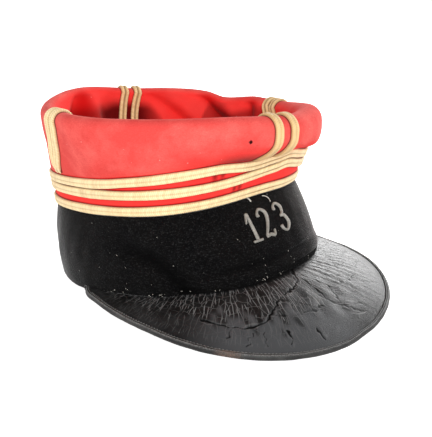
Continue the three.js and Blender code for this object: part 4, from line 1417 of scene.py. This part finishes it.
specks, start, end = new_group(
    "lint_specks", {"Place": (0, 0, 0), "Scale": 0.4, "Size": 0.12, "Share": 0.1}, ["Mask"]
)
spot = (start, "Place")
bent = shifted(specks, noise(specks, spot, 0.8, "Color", Detail=2.0), SPECK_BEND, spot)
cells = add(specks, "ShaderNodeTexVoronoi", Vector=bent, Scale=(start, "Scale"))
near = maths(specks, "LESS_THAN", (cells, "Distance"), (start, "Size"))
drawn = add(specks, "ShaderNodeSeparateColor", Color=(cells, "Color"))
few = maths(specks, "LESS_THAN", (drawn, "Red"), (start, "Share"))
connect(specks, end, Mask=maths(specks, "MULTIPLY", near, few))
print("group:", specks.name)

# %% [markdown]
# ## Red wool
# The crown's red is bright. The nap darkens and lightens it a little, the mottling shifts it towards coral, and
# pale specks sit on top. Where the mesh stores painted shade, a saturated red is painted in as shade, and on
# the steep sides of the pleats a deeper red is painted as shade.

# %% Dye of the red wool
RED, CORAL, DEEP_RED = (0.78, 0.083, 0.073), (0.92, 0.153, 0.13), (0.55, 0.024, 0.021)
# Colours of painted shade: a saturated red and a deep red. The last colour is for pale specks.
SATURATED_SHADE_RED, FOLD_SHADE_RED, PALE_SPECK = (0.95, 0.036, 0.031), (0.58, 0.003, 0.003), (0.95, 0.6, 0.55)

red_wool, tree, shader = new_material("red_wool_felt")
spot = millimetres(tree)
felt = use_group(tree, nap, Place=spot, Fibre_Size=1.7, Mottle_Size=0.045)
colour = colour_mix(tree, value_range(tree, (felt, "Mottle"), 0.38, 0.62), RED, CORAL)
colour = colour_mix(tree, value_range(tree, (felt, "Shade"), 0.62, 0.36, 0.0, 0.55), colour, DEEP_RED)
# Painted shade: a saturated red where the mesh stores it.
colour = colour_mix(tree, read(tree, "sheltered"), colour, SATURATED_SHADE_RED)
# Painted shade: a deeper red on the steep sides of the pleats.
colour = colour_mix(tree, up_to(tree, read(tree, "folded"), 0.9), colour, FOLD_SHADE_RED)
dust = use_group(tree, specks, Place=spot, Scale=0.35, Size=0.13, Share=0.02)
colour = colour_mix(tree, up_to(tree, (dust, "Mask"), 0.45), colour, PALE_SPECK)
print("dye of", red_wool.name)

# %% [markdown]
# ## A moth hole, dark patches and painted shade on the red
# One moth hole shows at the front: a small dark spot with a ragged edge. A few tall dark patches lie behind the
# rows of braid near it. Each is a distance from a chosen place, through the same bent coordinates. Last come
# painted shade in the deep places of the crown and a painted shadow as dark lines where braid lies on the
# cloth, from the numbers that the mesh stores. Sheen gives the soft light edge that wool has against a bright
# room.

# %% Red wool material
# DARK is painted shade for the deep places and the braid's shadow, and the colour of the dark patches; HOLE is
# the moth hole.
DARK, HOLE = (0.1, 0.001, 0.0015), (0.03, 0.004, 0.004)
TEAR = 1.2
MOTH_HOLE = {"middle": np.array([-33.2, -86.0 + CAP_Y, 113.8]), "size": 1.5}
# Tall dark patches behind the rows of braid near the front.
DARK_PATCHES = [
    {"angle": 28, "share": 0.72, "size": 3.4},
    {"angle": 24.5, "share": 0.75, "size": 3.0},
    {"angle": 14.5, "share": 0.36, "size": 3.0},
    {"angle": 17.5, "share": 0.35, "size": 2.4},
]
DARK_PATCH_TALL = (1, 1, 0.45)
# How wide the painted shadow beside the braid is.
BRAID_SHADOW_FROM, BRAID_SHADOW_TO = BRAID_WIDTH / 2, BRAID_WIDTH / 2 + 1.1

torn = shifted(tree, noise(tree, spot, 0.9, "Color", Detail=2.0), (TEAR,) * 3, spot)
hole = distance(tree, torn, MOTH_HOLE["middle"] + TEAR / 2)
colour = colour_mix(tree, value_range(tree, hole, MOTH_HOLE["size"], MOTH_HOLE["size"] * 0.6), colour, HOLE)
streaks = add(tree, "ShaderNodeVectorMath", operation="MULTIPLY", _0=torn, _1=DARK_PATCH_TALL)
for dark_patch in DARK_PATCHES:
    angle = np.array([float(dark_patch["angle"])])
    middle = on_rows_wall(angle, rows_height(angle) * dark_patch["share"])[0][0] + [0, CAP_Y, 0] + TEAR / 2
    off = distance(tree, (streaks, "Vector"), middle * DARK_PATCH_TALL)
    colour = colour_mix(tree, value_range(tree, off, dark_patch["size"], 0.4, 0, 0.7), colour, DARK)
# Painted shade in the deep places of the crown, and a painted shadow under the puff.
colour = colour_mix(tree, value_range(tree, read(tree, "deep"), 0, 1.1, 0, 0.97), colour, DARK)
# A painted shadow: a dark line beside each row and strand of braid.
from_row = add(tree, "ShaderNodeSeparateXYZ", Vector=read(tree, "from_rows", "Vector"))
for off in ((from_row, "X"), (from_row, "Y"), (from_row, "Z"), read(tree, "from_strand")):
    braid_shadow = value_range(tree, maths(tree, "ABSOLUTE", off), BRAID_SHADOW_TO, BRAID_SHADOW_FROM, 0, 0.8)
    colour = colour_mix(tree, braid_shadow, colour, DARK)
connect(
    tree, shader, Base_Color=colour, Normal=raised(tree, (felt, "Height"), 0.35, 0.0006), Roughness=0.92,
    Sheen_Weight=0.12, Sheen_Roughness=0.45, Sheen_Tint=(1.0, 0.5, 0.46, 1), Specular_IOR_Level=0.05,
)
for piece in (crown, crown_top):
    piece.data.materials.append(red_wool)
print("material:", red_wool.name)

# %% [markdown]
# ## Black wool
# The band is the same cloth in black, with a grain of grey fibres. Lint shows far more on it, and in the dent
# and the crease it is painted blacker, as shade. The sheen makes its edges grey where the light grazes, which
# is most of what the eye sees of its shape. On the turned foot over the peak, a shaded copy of the material
# without the sheen paints the seam darker.

# %% Black wool material
BLACK, RUSTY, GREY = (0.0016, 0.0016, 0.0018), (0.0028, 0.0026, 0.0025), (0.03, 0.03, 0.031)
# Pale dust, and a blacker colour painted in as shade.
DUSTY, DENT_SHADE_BLACK = (0.1, 0.098, 0.09), (0.0006, 0.0006, 0.0007)
# Where a shaded copy of the black wool, without sheen, paints the seam darker.
SHADED_SEAM = {"steps": 8, "middle": -8, "half": 70}


def black_wool(name, sheen):
    material, tree, shader = new_material(name)
    spot = millimetres(tree)
    felt = use_group(tree, nap, Place=spot, Fibre_Size=1.0, Mottle_Size=0.06)
    colour = colour_mix(tree, value_range(tree, (felt, "Mottle"), 0.4, 0.65), BLACK, RUSTY)
    colour = colour_mix(tree, value_range(tree, (felt, "Shade"), 0.52, 0.66, 0, 0.9), colour, GREY)
    dust = use_group(tree, specks, Place=spot, Scale=0.5, Size=0.13, Share=0.2)
    colour = colour_mix(tree, up_to(tree, (dust, "Mask"), 0.35), colour, DUSTY)
    # Painted shade: blacker in the dent and the crease.
    colour = colour_mix(tree, up_to(tree, read(tree, "pressed"), 0.85), colour, DENT_SHADE_BLACK)
    connect(
        tree, shader, Base_Color=colour, Normal=raised(tree, (felt, "Height"), 0.45, 0.0007), Roughness=0.95,
        Sheen_Weight=sheen, Sheen_Roughness=0.28, Specular_IOR_Level=0.06,
    )
    return material


# The second material is a shaded copy without sheen, which paints the seam over the peak darker.
for name, sheen in (("black_wool_felt", 0.45), ("black_wool_seam", 0.0)):
    band.data.materials.append(black_wool(name, sheen))
in_foot = np.arange(wall.shape[1] + inner.shape[1]) < SHADED_SEAM["steps"]
in_seam = in_foot[None, :] & (np.abs(away(angles, SHADED_SEAM["middle"])) < SHADED_SEAM["half"])[:, None]
band.data.polygons.foreach_set("material_index", in_seam.ravel().astype(np.int32))
print("materials:", [m.name for m in band.data.materials])

# %% [markdown]
# ## Wound thread
# Braid and numerals are both made of thread laid in turns. The group draws those turns from the lay map:
# a wave along the run, with each turn a little lighter or darker, and dirt in slow patches. The gaps
# between the turns come out as a mask, for a material to darken.

# %% Thread group
thread, start, end = new_group(
    "wound_thread",
    {"Lay": (0, 0, 0), "Place": (0, 0, 0), "Pitch": 1.0, "Slant": 0.3},
    ["Gap", "Tone", "Dirt"],
)
axes = add(thread, "ShaderNodeSeparateXYZ", Vector=(start, "Lay"))
slant = maths(thread, "MULTIPLY", maths(thread, "ABSOLUTE", (axes, "Y")), (start, "Slant"))
phase = maths(thread, "ADD", maths(thread, "DIVIDE", (axes, "X"), (start, "Pitch")), slant)
gap = value_range(thread, maths(thread, "PINGPONG", phase, 0.5), 0.16, 0.02)
turn = maths(thread, "FLOOR", phase)
tone = add(thread, "ShaderNodeTexWhiteNoise", noise_dimensions="1D", W=turn)
dirt = noise(thread, (start, "Place"), 0.07, Detail=5.0, Roughness=0.65)
connect(thread, end, Gap=gap, Tone=(tone, "Value"), Dirt=dirt)
print("group:", thread.name)

# %% [markdown]
# ## Gold braid
# The braid is cream and gold, browned in its groove where dirt has stayed, and darker along both edges as
# painted shade. The groove is found from the lay map, whose second number is the distance from the middle of
# the braid. It has three looks: the rows and the right pair are clean, the back and left pairs are tanned with
# a dark groove, and the front pair is worn to a plain gold.

# %% Gold braid material
CREAM, GOLD, BROWN, GRIME = (1.0, 0.8, 0.46), (0.8, 0.54, 0.25), (0.26, 0.12, 0.03), (0.42, 0.27, 0.11)
SOILED_GROOVE = 0.85
BRAID_LOOKS = {
    "clean": {"dirt": 0.3, "groove": 0.8, "tan": 0.0},
    "tanned": {"dirt": 0.85, "groove": 1.3, "tan": 0.65},
    "worn": {"dirt": 0.25, "groove": 0.9, "tan": 0.95},
}


def gold_braid(name, dirt, groove, tan):
    material, tree, shader = new_material(name)
    spot, lay = millimetres(tree), lay_map(tree)
    slant = THREAD_SLANT / (BRAID_WIDTH / 2)
    wound = use_group(tree, thread, Lay=lay, Place=spot, Pitch=THREAD_PITCH, Slant=slant)
    tone = value_range(tree, (wound, "Tone"), 0, 1, tan, min(1, tan + 0.5))
    colour = colour_mix(tree, tone, CREAM, GOLD)
    colour = colour_mix(tree, up_to(tree, (wound, "Gap"), 0.4), colour, BROWN)
    across = add(tree, "ShaderNodeSeparateXYZ", Vector=lay)
    off = maths(tree, "ABSOLUTE", (across, "Y"))
    soiled = value_range(tree, read(tree, "soiled"), 0, 1, dirt, SOILED_GROOVE)
    in_groove = maths(tree, "MULTIPLY", value_range(tree, off, groove, 0.1), soiled)
    colour = colour_mix(tree, in_groove, colour, BROWN)
    # Painted shade: darker along both edges of the braid.
    colour = colour_mix(tree, value_range(tree, off, 2.5, 3.1, 0, 0.5), colour, BROWN)
    colour = colour_mix(tree, value_range(tree, (wound, "Dirt"), 0.52, 0.75, 0, 0.35), colour, GRIME)
    fuzz = noise(tree, spot, 3.0, Detail=3.0)
    connect(
        tree, shader, Base_Color=colour, Normal=raised(tree, fuzz, 0.3, 0.0003), Roughness=0.62,
        Sheen_Weight=0.15, Specular_IOR_Level=0.35,
    )
    return material


def braid_look(piece):
    if "front" in piece.name:
        return "worn"
    return "clean" if piece in rows or "right" in piece.name else "tanned"


braids = {look: gold_braid(f"gold_braid_{look}", **values) for look, values in BRAID_LOOKS.items()}
for piece in rows + strands:
    piece.data.materials.append(braids[braid_look(piece)])
print("materials:", [material.name for material in braids.values()])

# %% [markdown]
# ## Grey thread and white lint
# The numerals are worked in metal thread gone dull: grey, a little warm, with the turns across each
# stroke. It uses the same thread group with a finer pitch and no slant. Lint and loose threads are
# plain white cotton, soiled in patches.

# %% Grey thread material
SILVER, TARNISH = (0.36, 0.345, 0.31), (0.2, 0.19, 0.165)
SOOT, WHITE = (0.05, 0.047, 0.04), (0.75, 0.72, 0.64)

grey_thread, tree, shader = new_material("grey_metal_thread")
wound = use_group(
    tree, thread, Lay=lay_map(tree), Place=millimetres(tree), Pitch=STROKE["thread"], Slant=0.0
)
colour = colour_mix(tree, up_to(tree, (wound, "Tone"), 0.5), SILVER, TARNISH)
colour = colour_mix(tree, up_to(tree, (wound, "Gap"), 0.6), colour, SOOT)
colour = colour_mix(tree, value_range(tree, (wound, "Dirt"), 0.5, 0.7, 0, 0.5), colour, TARNISH)
rough = value_range(tree, (wound, "Dirt"), 0.35, 0.65, 0.42, 0.7)
connect(tree, shader, Base_Color=colour, Roughness=rough, Metallic=0.25)
for stroke in numerals:
    stroke.data.materials.append(grey_thread)

white_thread, tree, shader = new_material("white_lint")
soiled = noise(tree, millimetres(tree), 0.15, Detail=4.0)
pale = colour_mix(tree, value_range(tree, soiled, 0.35, 0.6), TARNISH, WHITE)
connect(tree, shader, Base_Color=pale, Roughness=0.9)
for piece in [lint, *loose]:
    piece.data.materials.append(white_thread)
print("materials:", grey_thread.name, white_thread.name)

# %% [markdown]
# ## Hairlines in the lacquer
# Two kinds of fine cracks lie between the deep ones. Most are broken lines that run out from the band, drawn
# along the fan that the mesh stores, in three sets that lean differently. The others are the edges of small
# plates, from Voronoi cells on the lay map. Both show as densely as the mesh says, and are painted pale grey as
# highlights.

# %% Hairlines
HAIRS = [
    {"apart": 3.6, "half": 0.26, "tilt": 0.05, "seed": 3},
    {"apart": 3.0, "half": 0.2, "tilt": -0.1, "seed": 11},
    {"apart": 4.4, "half": 0.22, "tilt": 0.2, "seed": 29},
]
HAIR_BEND = 2.2
HAIR_BREAKS = (0.45, 0.1, 0)
PLATE = {"size": 6.0, "half": 0.2, "bend": (5, 5, 0), "show": 0.5}


def line_edges(tree, place_socket, dimensions, size, half):
    """A mask of the edges between Voronoi cells of a size, as lines of half a width on each side."""
    cells = add(
        tree, "ShaderNodeTexVoronoi", feature="DISTANCE_TO_EDGE", voronoi_dimensions=dimensions,
        Scale=1 / size, **place_socket,
    )
    return value_range(tree, (cells, "Distance"), half / size, 0.4 * half / size)


def fan_lines(tree, fan, hair):
    """Broken lines that run out from the band, each with a slight wander."""
    axes = add(tree, "ShaderNodeSeparateXYZ", Vector=fan)
    leaned = maths(tree, "MULTIPLY_ADD", (axes, "Y"), hair["tilt"], (axes, "X"))
    moved = maths(tree, "MULTIPLY_ADD", noise(tree, fan, 0.09, Detail=1.0), HAIR_BEND, leaned)
    lines = line_edges(tree, {"W": moved}, "1D", hair["apart"], hair["half"])
    broken = noise(tree, shifted(tree, fan, HAIR_BREAKS, (hair["seed"],) * 3), 1.0, Detail=2.0)
    return maths(tree, "MULTIPLY", lines, value_range(tree, broken, 0.47, 0.54))


def plate_edges(tree, lay):
    """The edges of small plates, which go all ways."""
    moved = shifted(tree, noise(tree, lay, 0.12, "Color", Detail=3.0), PLATE["bend"], lay)
    return line_edges(tree, {"Vector": moved}, "2D", PLATE["size"], PLATE["half"])


def hairlines(tree):
    fan = read(tree, "fan", "Vector")
    lines = maths(tree, "MULTIPLY", plate_edges(tree, lay_map(tree)), PLATE["show"])
    for hair in HAIRS:
        lines = maths(tree, "MAXIMUM", lines, fan_lines(tree, fan, hair))
    return maths(tree, "MULTIPLY", lines, read(tree, "hairline"))


print("sets of hairlines:", len(HAIRS))

# %% [markdown]
# ## Black leather
# The peak is lacquered leather. The lacquer is a coat over dull black, thick where the mesh says so, and it is
# open in the cracks and hairlines. The lips of the cracks and the hairlines are painted grey as highlights, and
# the cracks are painted black inside as shade. The binding is the same leather with one bare brown spot; its
# ridges are painted pale, partly as rubbed wear and partly as a painted highlight, and its grooves are painted
# black as shade. The stitches take it greyer, as a painted highlight.

# %% Leather material
# Grey for the scuffed lacquer, and greys painted as highlights on the crack lips and the hairlines.
SCUFFED, LIP_HIGHLIGHT_GREY, HAIR_HIGHLIGHT_GREY = (0.068, 0.07, 0.073), (0.2, 0.2, 0.198), (0.25, 0.25, 0.248)
# A grey for the painted highlight on the binding's ridges, which is partly rubbed wear, and a black for the
# painted shade in the cracks.
RIDGE_HIGHLIGHT_GREY, PIT_SHADE_BLACK = (0.42, 0.42, 0.41), (0.002, 0.002, 0.002)
LEATHER_DUST, BARE_LEATHER = (0.3, 0.29, 0.27), (0.15, 0.095, 0.07)
LACQUER_ROUGHNESS = 0.26
BARE_ANGLE = 38.0


def leather(name, rough_from, body, grey, shine, bare_spot=None):
    material, tree, shader = new_material(name)
    spot = millimetres(tree)
    hair = hairlines(tree)
    pebble = noise(tree, spot, 1.6, Detail=5.0, Roughness=0.6)
    worn = noise(tree, spot, 0.05, Detail=5.0, Roughness=0.65)
    depth = read(tree, "crack")
    pit = value_range(tree, depth, 0.06, 0.3)
    colour = colour_mix(tree, value_range(tree, worn, 0.42, 0.7), body, grey)
    colour = colour_mix(tree, up_to(tree, read(tree, "dull"), 0.85), colour, SCUFFED)
    # Painted highlight: grey on the raised lips of the cracks.
    colour = colour_mix(tree, value_range(tree, depth, -0.015, -0.08, 0, 0.25), colour, LIP_HIGHLIGHT_GREY)
    # Painted highlight: pale grey on the hairlines.
    colour = colour_mix(tree, up_to(tree, hair, 0.8), colour, HAIR_HIGHLIGHT_GREY)
    # Painted highlight on the binding's ridges, partly rubbed wear.
    ridge_wear_and_highlight = maths(tree, "MULTIPLY", read(tree, "ridge"), value_range(tree, pebble, 0.35, 0.6))
    colour = colour_mix(tree, ridge_wear_and_highlight, colour, RIDGE_HIGHLIGHT_GREY)
    # Painted shade: black inside the cracks and in the binding's grooves.
    colour = colour_mix(tree, pit, colour, PIT_SHADE_BLACK)
    dust = use_group(tree, specks, Place=spot, Scale=0.3, Size=0.1, Share=0.06)
    colour = colour_mix(tree, up_to(tree, (dust, "Mask"), 0.4), colour, LEATHER_DUST)
    if bare_spot is not None:
        near = value_range(tree, distance(tree, spot, bare_spot), 9, 3)
        bare = maths(tree, "MULTIPLY", near, value_range(tree, pebble, 0.4, 0.6))
        colour = colour_mix(tree, bare, colour, BARE_LEATHER)
    rough = maths(tree, "MULTIPLY_ADD", worn, 0.25, rough_from)
    rough = maths(tree, "MULTIPLY_ADD", hair, 0.3, rough)
    rough = maths(tree, "MULTIPLY_ADD", pit, 0.4, rough)
    normal = raised(tree, maths(tree, "MULTIPLY_ADD", hair, 0.7, pebble), 0.45, 0.0005)
    whole = value_range(tree, maths(tree, "MAXIMUM", hair, pit), 0, 1, 1, 0.2)
    coat = maths(tree, "MULTIPLY", read(tree, "lacquer"), whole)
    connect(
        tree, shader, Base_Color=colour, Roughness=rough, Normal=normal, Specular_IOR_Level=shine,
        Coat_Weight=coat, Coat_Normal=normal, Coat_Roughness=LACQUER_ROUGHNESS,
    )
    return material


bare_spot = peak_edge(np.array([BARE_ANGLE]), 0.0)[0][0] + [0, CAP_Y, 0]
peak.data.materials.append(
    leather("cracked_leather", 0.4, (0.0035, 0.0036, 0.0038), (0.02, 0.0205, 0.021), 0.09)
)
binding.data.materials.append(
    leather("binding_leather", 0.32, (0.01, 0.01, 0.0098), (0.05, 0.05, 0.048), 0.3, bare_spot)
)
# The stitches are a greyer leather, as a painted highlight.
stitches.data.materials.append(leather("stitch_leather", 0.5, (0.1, 0.1, 0.098), (0.32, 0.32, 0.31), 0.2))
print("leather on:", [piece.name for piece in (peak, binding, stitches)])

# %% [markdown]
# ## The white table
# The floor is plain and pale, with a very faint unevenness. It glows, because a light table is lit from
# below, and that leaves only a thin shadow where the cap touches it. The glow that the camera sees is
# stronger than the glow that reaches the cap, so that the cloth keeps its shade on the underside.

# %% Floor material
TABLE_DIM, TABLE_WHITE = (0.93, 0.93, 0.93), (0.95, 0.95, 0.95)
TABLE_SEEN, TABLE_LIGHT = 0.85, 0.3

paper, tree, shader = new_material("white_table")
grain = noise(tree, millimetres(tree), 0.02, Detail=2.0)
pale = colour_mix(tree, value_range(tree, grain, 0.3, 0.7), TABLE_DIM, TABLE_WHITE)
ray = add(tree, "ShaderNodeLightPath")
glow = value_range(tree, (ray, "Is Camera Ray"), 0, 1, TABLE_LIGHT, TABLE_SEEN)
connect(
    tree, shader, Base_Color=pale, Roughness=0.9, Specular_IOR_Level=0.0,
    Emission_Color=(1, 1, 1, 1), Emission_Strength=glow,
)
floor.data.materials.append(paper)
print("material:", paper.name)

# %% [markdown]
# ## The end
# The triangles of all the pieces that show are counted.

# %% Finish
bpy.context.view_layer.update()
shown = [piece for piece in bpy.data.objects if piece.type == "MESH" and not piece.hide_render]
print("triangles in all:", sum(count_triangles(piece) for piece in shown))
